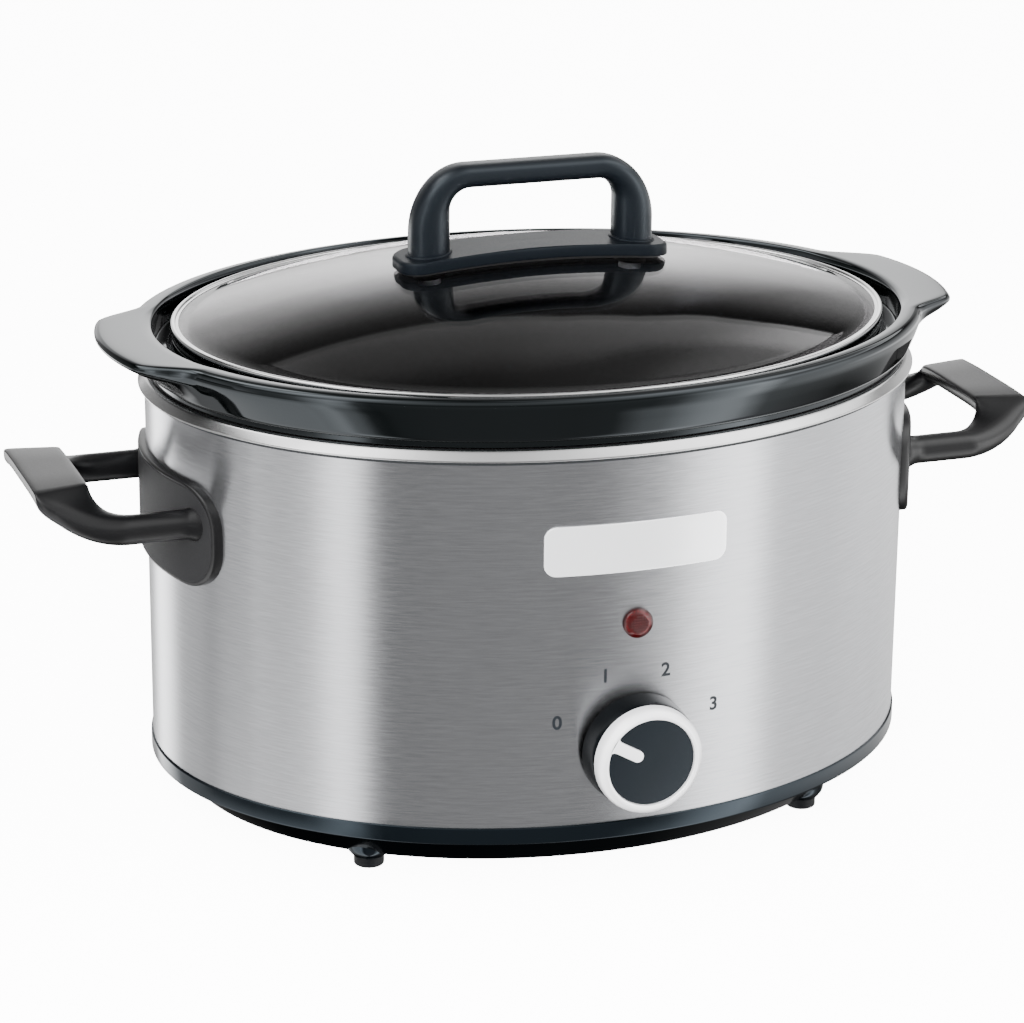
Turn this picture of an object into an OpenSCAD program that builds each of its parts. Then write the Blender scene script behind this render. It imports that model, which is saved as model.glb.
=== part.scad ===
// Oval slow cooker: steel housing on a black base pan, lift-out stoneware
// crock, glass lid with a bow handle, and a rotary knob on the front.
// The oval stands on its four feet at z = 0, with its long axis along X and
// its front, with the knob, towards -Y.

/* [Housing] */
// Half of the steel wall's length, along X
shell_a = 148; // [140:0.5:165]
// Half of the steel wall's depth, along Y
shell_b = 118.5; // [114:0.5:130]
// Height of the steel wall
shell_h = 139.5; // [132:0.5:160]
// Thickness of the steel wall
shell_t = 0.8; // [0.5:0.1:1.2]

/* [Heating well] */
// Thickness of the well's sheet
well_t = 1.0; // [0.8:0.1:1.5]
// Inset of the well from the steel wall, at its top
well_top_in = 8; // [7:0.5:10]
// Inset of the well from the steel wall, at its lower corner
well_low_in = 20; // [18:0.5:24]
// Radius of the well's lower corner
well_corner = 14; // [10:1:18]
// Height of the well's floor above the steel wall's lower edge
well_floor_h = 44.5; // [43:0.5:52]
// How far the rolled rim stands out from the steel wall
bead_out = 2.5; // [1.5:0.1:3]
// Height of the rolled rim
bead_h = 4.2; // [3.5:0.1:6]
// Width of the heater band
band_h = 34; // [20:1:45]
// Thickness of the heater band
band_t = 2.4; // [1.5:0.1:3]
// Width of the steel strap that holds the heater band
strap_h = 8; // [5:1:12]
// Thickness of that strap
strap_t = 0.8; // [0.6:0.1:1.2]

/* [Base pan] */
// Height of the whole pan
pan_h = 20; // [18:0.5:28]
// Height of the pan's upright band
pan_band_h = 6; // [4:0.5:9]
// How far the band stands out from the steel wall
pan_out = 0.7; // [0:0.1:1.5]
// Inset of the pan's floor from the steel wall
pan_floor_in = 16; // [10:0.5:20]
// Wall thickness of the pan
pan_t = 2; // [1.5:0.1:3]
// Height of the lip that stands inside the steel wall
lip_h = 4; // [2:0.5:6]

/* [Feet] */
// Distance of a foot from the middle, along X
foot_x = 87; // [80:0.5:90]
// Distance of a foot from the middle, along Y
foot_y = 72.5; // [60:0.5:74]
// Diameter of a foot
foot_d = 11.4; // [9:0.2:14]
// Height of a rubber foot below its boss
foot_h = 3.1; // [2.4:0.1:5]
// Height of the cone-shaped boss over a foot
boss_h = 2.4; // [2:0.1:4]
// Diameter of that boss where it meets the pan
boss_d = 19; // [16:0.5:24]
// Diameter of the stem that holds a foot in the pan
stem_d = 5; // [4:0.2:6]

/* [Crock] */
// Thickness of the crock's wall
crock_wall = 7; // [5:0.5:9]
// Thickness of the crock's floor
crock_floor = 8; // [6:0.5:12]
// Gap between the crock and the heating well
crock_gap = 2.5; // [2:0.1:4]
// How far the flange stands out past the steel wall, along X
flange_out_x = 5.7; // [4:0.1:9]
// How far the flange stands out past the steel wall, along Y
flange_out_y = 1.2; // [0:0.1:4]
// Height of the crock's skirt
skirt_h = 16; // [13:0.5:20]
// Height of the dark recess between the skirt and the rolled rim
recess_h = 2.6; // [1.5:0.1:4]
// Reach of a lug past the flange
lug_reach = 13.3; // [8:0.5:18]
// Half width of a lug at its root
lug_root = 46; // [42:1:60]
// Half width of a lug at its tip
lug_tip = 31; // [20:1:36]
// How far the skirt is cut up under a lug
notch_h = 4; // [0:0.5:6]
// Depth of the lid ledge below the flange
ledge_drop = 5.3; // [4.5:0.1:8]

/* [Lid] */
// Half length of the lid's steel rim
rim_a = 137.9; // [136:0.1:139]
// Half depth of the lid's steel rim
rim_b = 111.7; // [107:0.1:112]
// Height of the rim's section
rim_h = 4.6; // [4:0.1:6]
// Width of the rim's section
rim_w = 3.2; // [2.6:0.1:4.5]
// Thickness of the rim's steel
rim_t = 0.8; // [0.5:0.1:1]
// Height of the glass dome
dome_h = 21.4; // [14:0.2:26]

/* [Lid handle] */
// Length of the handle's foot plate
foot_plate_l = 107; // [100:1:116]
// Width of the foot plate
foot_plate_w = 25; // [20:0.5:32]
// Thickness of the foot plate
foot_plate_t = 4.5; // [3:0.1:6]
// Thickness of the gasket between the foot plate and the glass
gasket_t = 1.2; // [0.8:0.1:2]
// Distance between the middles of the bow's legs
bow_span = 81; // [70:1:88]
// Height of the bow above its foot plate
bow_h = 31.5; // [28:0.5:45]
// Thickness of the bow's bar
bar_t = 8.9; // [7:0.1:11]
// Width of the bow's bar
bar_w = 14; // [11:0.2:18]
// Diameter of a leg at its root
leg_d = 15.4; // [13:0.2:18]

/* [Side handles] */
// Thickness of a handle's mounting plate, at its middle
mount_t = 2.7; // [2:0.1:5]
// Radius of the plate's outer face, flatter than the wall
mount_face_r = 125; // [110:1:140]
// Half width of the mounting plate
mount_half = 49.4; // [47:0.2:52]
// Radius of the plate's corners
mount_corner = 17; // [12:0.5:18]
// Height of the plate's lower edge above the steel wall's lower edge
mount_low = 77.5; // [70:0.5:80]
// Height of the plate's upper edge above the steel wall's lower edge
mount_top = 117; // [114:0.5:122]
// Distance of a rod from the middle of the handle
rod_y = 37.5; // [35:0.5:39]
// Height of the rods above the steel wall's lower edge
rod_h = 102.3; // [98:0.1:104]
// Diameter of a rod
rod_d = 11; // [9:0.2:13]
// Half of the overall length, over the grips
reach = 198.3; // [194:0.1:214]
// Width of a grip
grip_w = 20.6; // [16:0.2:24]
// Thickness of a grip
grip_t = 8.4; // [7:0.2:10]
// Height of the grip's flat top above the rods' middle
grip_rise = 14.6; // [8:0.5:18]
// Half length of the grip's straight part
grip_half = 25; // [20:0.5:27]

/* [Knob] */
// Diameter of the knob's skirt
knob_d = 41; // [36:0.2:48]
// Depth of the knob, from back to front
knob_depth = 15; // [14:0.2:20]
// Height of the knob's axis above the steel wall's lower edge
knob_h = 28.7; // [27.5:0.1:30]
// Outer diameter of the silver ring
ring_d = 40.4; // [36:0.2:46]
// Diameter of the dark disc inside the ring
disc_d = 32.8; // [28:0.2:35]
// Width of the pointer bar
pointer_w = 4.6; // [3:0.2:6]
// Diameter of the switch shaft
shaft_d = 6; // [5:0.2:7]
// Pointer direction at rest, in degrees from upright towards -X
pointer_deg = 60; // [45:5:75]

/* [Lamp and badge] */
// Height of the lamp above the steel wall's lower edge
lamp_h = 76.4; // [70:0.2:84]
// Diameter of the lamp's lens
lens_d = 10.6; // [9:0.2:13]
// Height of the badge plate's middle above the steel wall's lower edge
badge_h = 105.5; // [98:0.5:118]
// Length of the badge plate
badge_l = 69.6; // [50:1:76]
// Width of the badge plate
badge_w = 18.6; // [14:0.2:24]
// Thickness of the badge plate
badge_t = 0.6; // [0.4:0.1:1]

/* [Electrics] */
// Side of the rotary switch's square body
switch_w = 24; // [20:0.5:24.5]
// Depth of the rotary switch's body
switch_depth = 20; // [17:0.5:24]
// Bore of the cord gland
gland_bore = 7.2; // [6:0.2:9]
// Height of the gland's middle above the steel wall's lower edge
gland_h = 22; // [20:0.5:27]
// Diameter of an insulated wire
wire_d = 2.6; // [2:0.1:3.2]

/* [Hidden] */
$fn = 48;
// Sides of every oval, a multiple of four
seg = 60;
// Clearances: seated parts, screws in holes, a shaft in its bearing, a
// moving part over its seat
seat = 0.05;
screw_play = 0.15;
running_fit = 0.05;
rest_gap = 0.3;

// Heights
shell_z = foot_h + boss_h + pan_h;
pan_z = shell_z - pan_h;
shell_top = shell_z + shell_h;
bead_top = shell_top + bead_h;
well_floor = shell_z + well_floor_h;
knob_z = shell_z + knob_h;
lamp_z = shell_z + lamp_h;
badge_z = shell_z + badge_h;
gland_z = shell_z + gland_h;
rod_z = shell_z + rod_h;

// Crock
seat_z = bead_top + rest_gap;
skirt_z = bead_top + recess_h;
flange_top = skirt_z + skirt_h;
ledge_z = flange_top - ledge_drop;
crock_z = well_floor + crock_gap;
flange_a = shell_a + flange_out_x;
flange_b = shell_b + flange_out_y;
crock_top_in = well_top_in + well_t + crock_gap;
crock_low_in = well_low_in + well_t + crock_gap;
channel_gap_x = 5.4;
channel_gap_y = 2.6;
channel_a = rim_a + channel_gap_x;
channel_b = rim_b + channel_gap_y;

// Lid
rim_z = ledge_z + rest_gap;
glass_t = rim_h - 2 * rim_t - 2 * seat;
glass_z = rim_z + rim_t + seat;
glass_a = rim_a - 1.5;
glass_b = rim_b - 1.5;
glass_land = rim_w - 1.5 + 0.8;
dome_a = glass_a - glass_land;
dome_b = glass_b - glass_land;
apex_z = glass_z + glass_t + dome_h;
dome_r = dome_a * dome_a / (2 * dome_h) + dome_h / 2;
plate_top_z = apex_z + seat + gasket_t + seat + foot_plate_t;
leg_x = bow_span / 2;
lid_screw_tilt = asin(leg_x / dome_r);
lid_screw_d = 4;

// Front controls, from the wall's front face outwards
front_y = -shell_b;
knob_back = front_y - 1.2;
knob_front = knob_back - knob_depth;
ring_proud = 1.2;
knob_reach = -knob_front + ring_proud;
bushing_d = 9;
nut_t = 2.4;
switch_front = front_y + shell_t + 0.9;
switch_back = switch_front + switch_depth;
shaft_r = shaft_d / 2;
rotor_r = 8.4;
rotor_y = switch_front + 8;
rotor_t = 5;

// Lamp: hole in the wall, tube through it, and the clip behind the wall
lamp_hole_d = lens_d - 1.4;
lamp_tube_d = lamp_hole_d - 0.4;
clip_back = shell_t + 0.5;
clip_t = 1;

// Rear cord gland
gland_d = gland_bore + 5.8;
gland_flange_d = gland_bore + 10.8;
gland_flange_t = 3.2;
gland_in = 9;
rear_reach = shell_b + gland_flange_t;

// The box over the whole part is centred on the origin
y_shift = (knob_reach - rear_reach) / 2;

// How far a foot's boss runs up into the pan
boss_rise = 6;

// Stud through the middle
stud_d = 5;
shield_z = shell_z + 32;
shield_t = 0.8;
shield_in = 46;
spacer_d = 10;
hex_d = 9.2;
washer_d = 18;
washer_t = 0.8;

// Handle fixings
bracket_t = 1.5;
bracket_h = 18;
bracket_end = 10;
screw_lead = 6;
handle_screw_d = 4.2;
handle_screw_grip = 8;
head_d = 8.4;
head_t = 2.6;

// ---- Shared shapes ----

function ramp(low, high, v) =
    let (t = min(1, max(0, (v - low) / (high - low))))
    t * t * (3 - 2 * t);

function oval(a, b) = [for (i = [0:seg - 1]) [a * cos(360 * i / seg), b * sin(360 * i / seg)]];

// The steel wall's outline, moved outwards by d
function shell_oval(d) = oval(shell_a + d, shell_b + d);

// An upright wall that follows the housing, from d_in to d_out off its outline
module shell_ring(d_in, d_out, z0, z1) {
    translate([0, 0, z0])
        linear_extrude(z1 - z0)
            difference() {
                polygon(shell_oval(d_out));
                polygon(shell_oval(d_in));
            }
}

// One oval ring of a loft: half axes and height, then how much of the lug and
// of the notch under it the ring takes
function ring(a, b, z, lug = 0, lift = 0) = [a, b, z, lug, lift];
function inset_ring(d, z) = ring(shell_a - d, shell_b - d, z);

function ring_points(r) =
    [for (p = oval(r[0], r[1]))
        let (end = ramp(lug_root, lug_tip, abs(p[1])))
        [p[0] + sign(p[0]) * r[3] * lug_reach * end, p[1], r[2] + r[4] * notch_h * end]];

function sides(rows, n) =
    [for (k = [0:rows - 2], i = [0:n - 1])
        [k * n + i, (k + 1) * n + i, (k + 1) * n + (i + 1) % n, k * n + (i + 1) % n]];

// Solid through a list of point loops, closed by a face at each end
module skin(loops) {
    n = len(loops[0]);
    rows = len(loops);
    polyhedron([for (l = loops) each l],
        concat([[for (i = [0:n - 1]) i]], sides(rows, n),
            [[for (i = [n - 1:-1:0]) (rows - 1) * n + i]]));
}

module loft(rings) {
    skin([for (r = rings) ring_points(r)]);
}

// Oval ring whose section is the closed outline through the given rings
module loft_loop(rings) {
    closed = concat(rings, [rings[0]]);
    rows = len(rings);
    polyhedron([for (r = rings) each ring_points(r)],
        [for (f = sides(rows + 1, seg)) [for (v = f) v % (rows * seg)]]);
}

// Bowl profile from the floor's edge to the top, as [inset, z]
function bowl(low_in, top_in, floor_z, top_z, r) =
    concat([for (k = [0:4])
        let (t = 90 * k / 4)
        [low_in + r * (1 - sin(t)), floor_z + r * (1 - cos(t))]], [[top_in, top_z]]);

function reversed(l) = [for (i = [len(l) - 1:-1:0]) l[i]];

function unit(v) = v / norm(v);

// Closed loop around p, across direction t, with half sizes w and h. Power 2
// is an ellipse, and a larger one is squarer.
function section(p, t, up, w, h, power = 2, n = 16) =
    let (side = unit(cross(up, t)), top = unit(cross(t, side)))
    [for (i = [0:n - 1])
        let (f = 360 * i / n)
        p + side * w * sign(cos(f)) * pow(abs(cos(f)), 2 / power)
          + top * h * sign(sin(f)) * pow(abs(sin(f)), 2 / power)];

function bezier(p, t) =
    pow(1 - t, 3) * p[0] + 3 * pow(1 - t, 2) * t * p[1] + 3 * (1 - t) * t * t * p[2]
    + t * t * t * p[3];

function bezier_way(p, t) =
    unit(pow(1 - t, 2) * (p[1] - p[0]) + 2 * (1 - t) * t * (p[2] - p[1]) + t * t * (p[3] - p[2]));

module wire(p) {
    skin([for (k = [0:12]) section(bezier(p, k / 12), bezier_way(p, k / 12), [1, 0.2, 0.1],
        wire_d / 2, wire_d / 2, 2, 8)]);
}

// Rod along +Y, from y0 to y1
module along_y(d, y0, y1) {
    translate([0, y0, 0])
        rotate([-90, 0, 0])
            cylinder(d = d, h = y1 - y0);
}

module hex(d, h) {
    cylinder(d = d, h = h, $fn = 6);
}

// Places its children on the wall's outer face at height z, at the point of
// the oval whose y is given, with +X pointing straight out of the wall
module on_wall(side, y, z) {
    x = shell_a * sqrt(1 - pow(y / shell_b, 2));
    turn = atan2(y / pow(shell_b, 2), x / pow(shell_a, 2));
    mirror([side < 0 ? 1 : 0, 0, 0])
        translate([x, y, z])
            rotate([0, 0, turn])
                children();
}

module rounded_rect(l, w, r) {
    hull()
        for (x = [-1, 1], y = [-1, 1])
            translate([x * (l / 2 - r), y * (w / 2 - r)])
                circle(r);
}

// ---- Housing ----

module housing_wrap() {
    color("silver")
        difference() {
            shell_ring(-shell_t, 0, shell_z, shell_top);
            translate([0, 0, knob_z])
                along_y(bushing_d + 2 * screw_play, front_y - 5, front_y + 5);
            translate([0, 0, lamp_z])
                along_y(lamp_hole_d, front_y - 5, front_y + 5);
            translate([0, 0, gland_z])
                along_y(gland_d + 2 * screw_play, shell_b - 5, shell_b + 5);
            for (side = [-1, 1], y = [-rod_y, rod_y])
                on_wall(side, y, rod_z)
                    rotate([0, 90, 0])
                        cylinder(d = handle_screw_d + 2 * screw_play, h = 10, center = true);
        }
}

module heating_well() {
    outer = bowl(well_low_in, well_top_in, well_floor - well_t, shell_top + 2.9, well_corner);
    inner = bowl(well_low_in + well_t, well_top_in + well_t, well_floor, bead_top - 2,
        well_corner - well_t);
    hem = 1.2;
    crown = bead_out - 0.8;
    color("lightgray")
        loft(concat(
            [for (p = outer) inset_ring(p[0], p[1])],
            [inset_ring(hem, shell_top + 2.9),
                inset_ring(hem, shell_top),
                inset_ring(-crown, shell_top),
                inset_ring(-bead_out, shell_top + 0.9),
                inset_ring(-bead_out, bead_top - 1.1),
                inset_ring(-crown, bead_top - 0.2),
                inset_ring(-crown + 1.4, bead_top),
                inset_ring(well_top_in - 1.5, bead_top),
                inset_ring(well_top_in + 0.3, bead_top - 0.7)],
            [for (p = reversed(inner)) inset_ring(p[0], p[1])]));
}

module base_pan() {
    lip_out = shell_t + 0.4;
    lip_in = lip_out + pan_t;
    color("black")
        difference() {
            union() {
                loft([inset_ring(pan_floor_in, pan_z),
                    inset_ring(2.2, shell_z - pan_band_h - 1.2),
                    inset_ring(-pan_out + 0.6, shell_z - pan_band_h - 0.6),
                    inset_ring(-pan_out, shell_z - pan_band_h),
                    inset_ring(-pan_out, shell_z - 0.6),
                    inset_ring(-pan_out + 0.6, shell_z),
                    inset_ring(lip_out, shell_z),
                    inset_ring(lip_out, shell_z + lip_h),
                    inset_ring(lip_in, shell_z + lip_h),
                    inset_ring(lip_in, shell_z - pan_band_h + 1),
                    inset_ring(pan_floor_in + 1, pan_z + pan_t)]);
                for (x = [-foot_x, foot_x], y = [-foot_y, foot_y])
                    translate([x, y, foot_h]) {
                        cylinder(d1 = foot_d + 0.6, d2 = boss_d, h = boss_h);
                        translate([0, 0, boss_h])
                            cylinder(d = boss_d, h = boss_rise);
                    }
            }
            for (x = [-foot_x, foot_x], y = [-foot_y, foot_y])
                translate([x, y, 0])
                    cylinder(d = stem_d + 2 * seat, h = pan_z + boss_rise + 1);
            cylinder(d = stud_d + 2 * screw_play, h = pan_z + 2 * pan_t);
        }
}

module foot(x_side, y_side) {
    color("dimgray")
        translate([x_side * foot_x, y_side * foot_y, 0]) {
            cylinder(d1 = foot_d - 1.2, d2 = foot_d, h = 0.6);
            translate([0, 0, 0.6])
                cylinder(d = foot_d, h = foot_h - 0.6);
            cylinder(d = stem_d, h = pan_z + boss_rise + 1.5);
        }
}

// ---- Heating ----

// Inset of the well's outside at height z, between its corner and its top
function well_in(z) =
    let (low = well_floor - well_t + well_corner, high = shell_top + 2.9)
    well_low_in + (well_top_in - well_low_in) * (z - low) / (high - low);

band_z = well_floor + well_corner;

module belt(z0, z1, d_in, d_out) {
    loft_loop([inset_ring(well_in(z0) - d_in, z0), inset_ring(well_in(z0) - d_out, z0),
        inset_ring(well_in(z1) - d_out, z1), inset_ring(well_in(z1) - d_in, z1)]);
}

module heater_band() {
    color("khaki")
        belt(band_z, band_z + band_h, seat, seat + band_t);
}

module heater_strap() {
    z = band_z + (band_h - strap_h) / 2;
    color("gray")
        belt(z, z + strap_h, band_t + 2 * seat, band_t + 2 * seat + strap_t);
}

module heat_shield() {
    color("lightgray")
        difference() {
            translate([0, 0, shield_z])
                linear_extrude(shield_t)
                    polygon(shell_oval(-shield_in));
            translate([0, 0, shield_z - 1])
                cylinder(d = stud_d + 2 * screw_play, h = shield_t + 2);
        }
}

module centre_stud() {
    color("silver")
        translate([0, 0, 0.6])
            cylinder(d = stud_d, h = well_floor - well_t - 0.6);
}

// Ring or nut on the stud, from z0 to z1
module on_stud(z0, z1) {
    difference() {
        translate([0, 0, z0])
            linear_extrude(z1 - z0)
                children();
        translate([0, 0, z0 - 1])
            cylinder(d = stud_d + 2 * seat, h = z1 - z0 + 2);
    }
}

module stud_spacer() {
    color("silver")
        on_stud(shield_z + shield_t, well_floor - well_t)
            circle(d = spacer_d);
}

module shield_nut() {
    color("silver")
        on_stud(shield_z - 4, shield_z)
            circle(d = hex_d, $fn = 6);
}

module base_washer() {
    color("silver")
        on_stud(pan_z - washer_t, pan_z)
            circle(d = washer_d);
}

module base_nut() {
    color("silver")
        on_stud(pan_z - washer_t - 3.4, pan_z - washer_t)
            circle(d = hex_d, $fn = 6);
}

module thermal_fuse() {
    z = well_floor - well_t;
    color("white")
        translate([30, 0, z - 3.2]) {
            translate([-8, 0, 0])
                rotate([0, 90, 0])
                    cylinder(d = 5, h = 16);
            translate([-4, -7, 2])
                cube([8, 14, 1.2]);
        }
}

// ---- Rotary switch ----

module switch_body() {
    wall = 2;
    color("tan")
        translate([0, 0, knob_z])
            difference() {
                union() {
                    translate([-switch_w / 2, switch_front, -switch_w / 2])
                        cube([switch_w, switch_depth, switch_w]);
                    along_y(bushing_d, front_y - nut_t - 1.4, switch_front + 1);
                }
                along_y(shaft_d + 2 * running_fit, front_y - 10, switch_front + 10);
                along_y(2 * rotor_r + 1.2, switch_front + wall + 2, switch_back + 1);
            }
}

module switch_cover() {
    color("peru")
        translate([-switch_w / 2, switch_back, knob_z - switch_w / 2])
            cube([switch_w, 2, switch_w]);
}

// Blades of the switch, and where a wire meets one
blade_x = [-8, -3, 3, 8];
blade_l = 5;
blade_z = knob_z - 3.6;
blade_back = switch_back + 2 + blade_l + 0.1;

module switch_terminals() {
    color("gold")
        for (x = blade_x)
            translate([x - 1.2, switch_back + 2, blade_z - 0.4])
                cube([2.4, blade_l, 0.8]);
}

module switch_nut() {
    color("silver")
        translate([0, front_y - 0.1, knob_z])
            rotate([90, 0, 0])
                difference() {
                    hex(14, nut_t);
                    translate([0, 0, -1])
                        cylinder(d = bushing_d + 2 * seat, h = nut_t + 2);
                }
}

// Shaft with the rotor inside the switch, and a flat where the knob grips it
module switch_shaft() {
    color("silver")
        translate([0, 0, knob_z]) {
            difference() {
                along_y(shaft_d, knob_front + 4, rotor_y + rotor_t);
                translate([-shaft_d, knob_front + 3, shaft_r - 1.2])
                    cube([2 * shaft_d, 7, shaft_d]);
            }
            along_y(2 * rotor_r, rotor_y, rotor_y + rotor_t);
        }
}

// ---- Knob ----

ring_back = knob_front + 4.5;

module knob_body() {
    hub_d = shaft_d + 6;
    color("black")
        translate([0, 0, knob_z])
            difference() {
                union() {
                    difference() {
                        union() {
                            along_y(knob_d, ring_back, knob_back);
                            along_y(disc_d + 2, knob_front + 1.8, ring_back);
                        }
                        along_y(knob_d - 5, knob_front + 5.5, knob_back + 1);
                    }
                    along_y(hub_d, knob_front + 5, knob_front + 11);
                }
                difference() {
                    along_y(shaft_d + 2 * seat, knob_front + 4 - seat, knob_back + 1);
                    translate([-shaft_d, knob_front + 2, shaft_r - 1.2 + seat])
                        cube([2 * shaft_d, 8, shaft_d]);
                }
            }
}

module knob_disc() {
    color("darkslategray")
        translate([0, 0, knob_z])
            along_y(disc_d - 2 * seat, knob_front, knob_front + 1.75);
}

// Silver ring and its pointer, one moulding
module knob_ring() {
    out = ring_d / 2;
    in = disc_d / 2;
    color("silver")
        translate([0, 0, knob_z])
            rotate([0, -pointer_deg, 0]) {
                rotate([90, 0, 0])
                    translate([0, 0, -ring_back])
                        rotate_extrude()
                            polygon([[in + 1.05, seat], [out, seat], [out, 3.2], [out - 0.5, 4.6],
                                [out - 1.6, 5.5], [out - 2.6, 5.7], [in, 5.7], [in, 2.75],
                                [in + 1.05, 2.75]]);
                translate([0, knob_front - 0.1, 0])
                    rotate([90, 0, 0])
                        linear_extrude(ring_proud - 0.1) {
                            translate([-pointer_w / 2, 4.5 + pointer_w / 2 - 1])
                                square([pointer_w, in - 3 - pointer_w / 2]);
                            translate([0, 4.5 + pointer_w / 2 - 1])
                                circle(d = pointer_w);
                        }
            }
}

// ---- Lamp and badge ----

module lamp_lens() {
    color("red")
        translate([0, 0, lamp_z])
            difference() {
                union() {
                    along_y(lens_d, front_y - 1.4, front_y - 0.1);
                    translate([0, front_y - 1.4, 0])
                        rotate([90, 0, 0])
                            cylinder(d1 = lens_d, d2 = lens_d - 3, h = 1.2);
                    along_y(lamp_tube_d, front_y - 0.2, front_y + 9);
                }
                along_y(lamp_tube_d - 2.4, front_y + 0.5, front_y + 10);
            }
}

module lamp_base() {
    color("white")
        translate([0, 0, lamp_z])
            along_y(lamp_tube_d, front_y + 9, front_y + 12);
}

module lamp_bulb() {
    color("orange")
        translate([0, 0, lamp_z])
            along_y(lamp_tube_d - 3.2, front_y + 2, front_y + 9);
}

module lamp_clip() {
    color("gray")
        translate([0, 0, lamp_z])
            difference() {
                along_y(lens_d + 3, front_y + clip_back, front_y + clip_back + clip_t);
                along_y(lamp_tube_d + 2 * seat, front_y, front_y + 5);
            }
}

module badge_plate() {
    color("whitesmoke")
        intersection() {
            shell_ring(seat, seat + badge_t, badge_z - badge_w, badge_z + badge_w);
            translate([0, 0, badge_z])
                rotate([90, 0, 0])
                    linear_extrude(shell_b + 10)
                        rounded_rect(badge_l, badge_w, 4.4);
        }
}

// ---- Side handles ----

// Outline of the mounting plate, seen along X
module mount_outline() {
    translate([0, shell_z + (mount_low + mount_top) / 2])
        rounded_rect(2 * mount_half, mount_top - mount_low, mount_corner);
}

// Plate between the wall and a flatter outer face
module mount_plate() {
    intersection() {
        rotate([90, 0, 90])
            linear_extrude(reach)
                mount_outline();
        translate([shell_a + mount_t - mount_face_r, 0, shell_z])
            cylinder(r = mount_face_r, h = shell_h, $fn = 144);
    }
}

// Path of the rod and grip for y below 0, as [x, y, z, blend], where blend
// runs from the round rod to the flat grip
grip_x = reach - grip_w / 2;
grip_mid_z = rod_z + grip_rise - grip_t / 2;
bend_x = grip_x - 20;
rod_root_x = shell_a * sqrt(1 - pow((rod_y + rod_d / 2) / shell_b, 2));

function handle_path() =
    concat(
        [for (x = [rod_root_x, rod_root_x + 7, rod_root_x + 8, rod_root_x + 9.5,
                rod_root_x + 11.5, (rod_root_x + 11.5 + bend_x) / 2])
            [x, -rod_y, rod_z, 0]],
        [for (k = [0:8])
            let (t = 90 * k / 8)
            [bend_x + (grip_x - bend_x) * sin(t), -grip_half - (rod_y - grip_half) * cos(t),
                rod_z + (grip_mid_z - rod_z) * ramp(0, 8, k), ramp(0, 7, k)]],
        [[grip_x, -grip_half / 2, grip_mid_z, 1]]);

function handle_loops() =
    let (half = handle_path(),
        path = concat(half, [[grip_x, 0, grip_mid_z, 1]],
            [for (p = reversed(half)) [p[0], -p[1], p[2], p[3]]]),
        n = len(path))
    [for (i = [0:n - 1])
        let (a = path[max(0, i - 1)], b = path[min(n - 1, i + 1)], p = path[i],
            way = unit([b[0] - a[0], b[1] - a[1], 0]),
            flare = 2.4 * (1 - ramp(rod_root_x + 5, rod_root_x + 11.5, p[0])),
            w = (rod_d / 2 + flare) * (1 - p[3]) + grip_w / 2 * p[3],
            h = (rod_d / 2 + flare) * (1 - p[3]) + grip_t / 2 * p[3])
        section([p[0], p[1], p[2]], way, [0, 0, 1], w, h, 2 + 2.4 * p[3])];

module handle_right() {
    color("dimgray")
        difference() {
            union() {
                mount_plate();
                skin(handle_loops());
            }
            translate([0, 0, shell_z])
                linear_extrude(shell_h)
                    polygon(shell_oval(seat));
            handle_screw_holes(handle_screw_d + 2 * seat);
        }
}

module handle_left() {
    mirror([1, 0, 0])
        handle_right();
}

module handle_screw_holes(d) {
    for (y = [-rod_y, rod_y])
        on_wall(1, y, rod_z)
            translate([-screw_lead, 0, 0])
                rotate([0, 90, 0])
                    cylinder(d = d, h = screw_lead + handle_screw_grip + seat);
}

module handle_bracket_right() {
    half = rod_y + bracket_end;
    color("gray")
        difference() {
            intersection() {
                shell_ring(-shell_t - seat - bracket_t, -shell_t - seat, rod_z - bracket_h / 2,
                    rod_z + bracket_h / 2);
                translate([0, -half, rod_z - bracket_h])
                    cube([shell_a, 2 * half, 2 * bracket_h]);
            }
            handle_screw_holes(handle_screw_d + 2 * screw_play);
        }
}

module handle_bracket_left() {
    mirror([1, 0, 0])
        handle_bracket_right();
}

module handle_screws_right() {
    back = shell_t + bracket_t + 0.35;
    color("silver")
        for (y = [-rod_y, rod_y])
            on_wall(1, y, rod_z)
                rotate([0, 90, 0]) {
                    translate([0, 0, -back - head_t])
                        cylinder(d = head_d, h = head_t);
                    translate([0, 0, -back - 0.1])
                        cylinder(d = handle_screw_d, h = back + handle_screw_grip);
                }
}

module handle_screws_left() {
    mirror([1, 0, 0])
        handle_screws_right();
}

// ---- Cord gland and wiring ----

module cord_gland() {
    color("black")
        translate([0, 0, gland_z])
            difference() {
                union() {
                    along_y(gland_d, shell_b - gland_in, shell_b + gland_flange_t);
                    along_y(gland_flange_d, shell_b + seat, shell_b + gland_flange_t);
                }
                along_y(gland_bore, shell_b - gland_in - 1, shell_b + gland_flange_t + 1);
            }
}

module gland_nut() {
    color("dimgray")
        translate([0, shell_b - shell_t - 0.6, gland_z])
            rotate([90, 0, 0])
                difference() {
                    hex(gland_flange_d + 2, 5);
                    translate([0, 0, -1])
                        cylinder(d = gland_d + 2 * seat, h = 7);
                }
}

block_y = 52;
block_l = 34;
block_w = 16;
block_h = 12;

module terminal_block() {
    color("ivory")
        translate([-block_l / 2, block_y - block_w / 2, pan_z + pan_t])
            difference() {
                cube([block_l, block_w, block_h]);
                for (x = [block_l / 2 - 9, block_l / 2, block_l / 2 + 9])
                    translate([x, block_w / 2, block_h - 5])
                        cylinder(d = 5, h = 6);
            }
}

block_z = pan_z + pan_t + block_h / 2;

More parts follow.
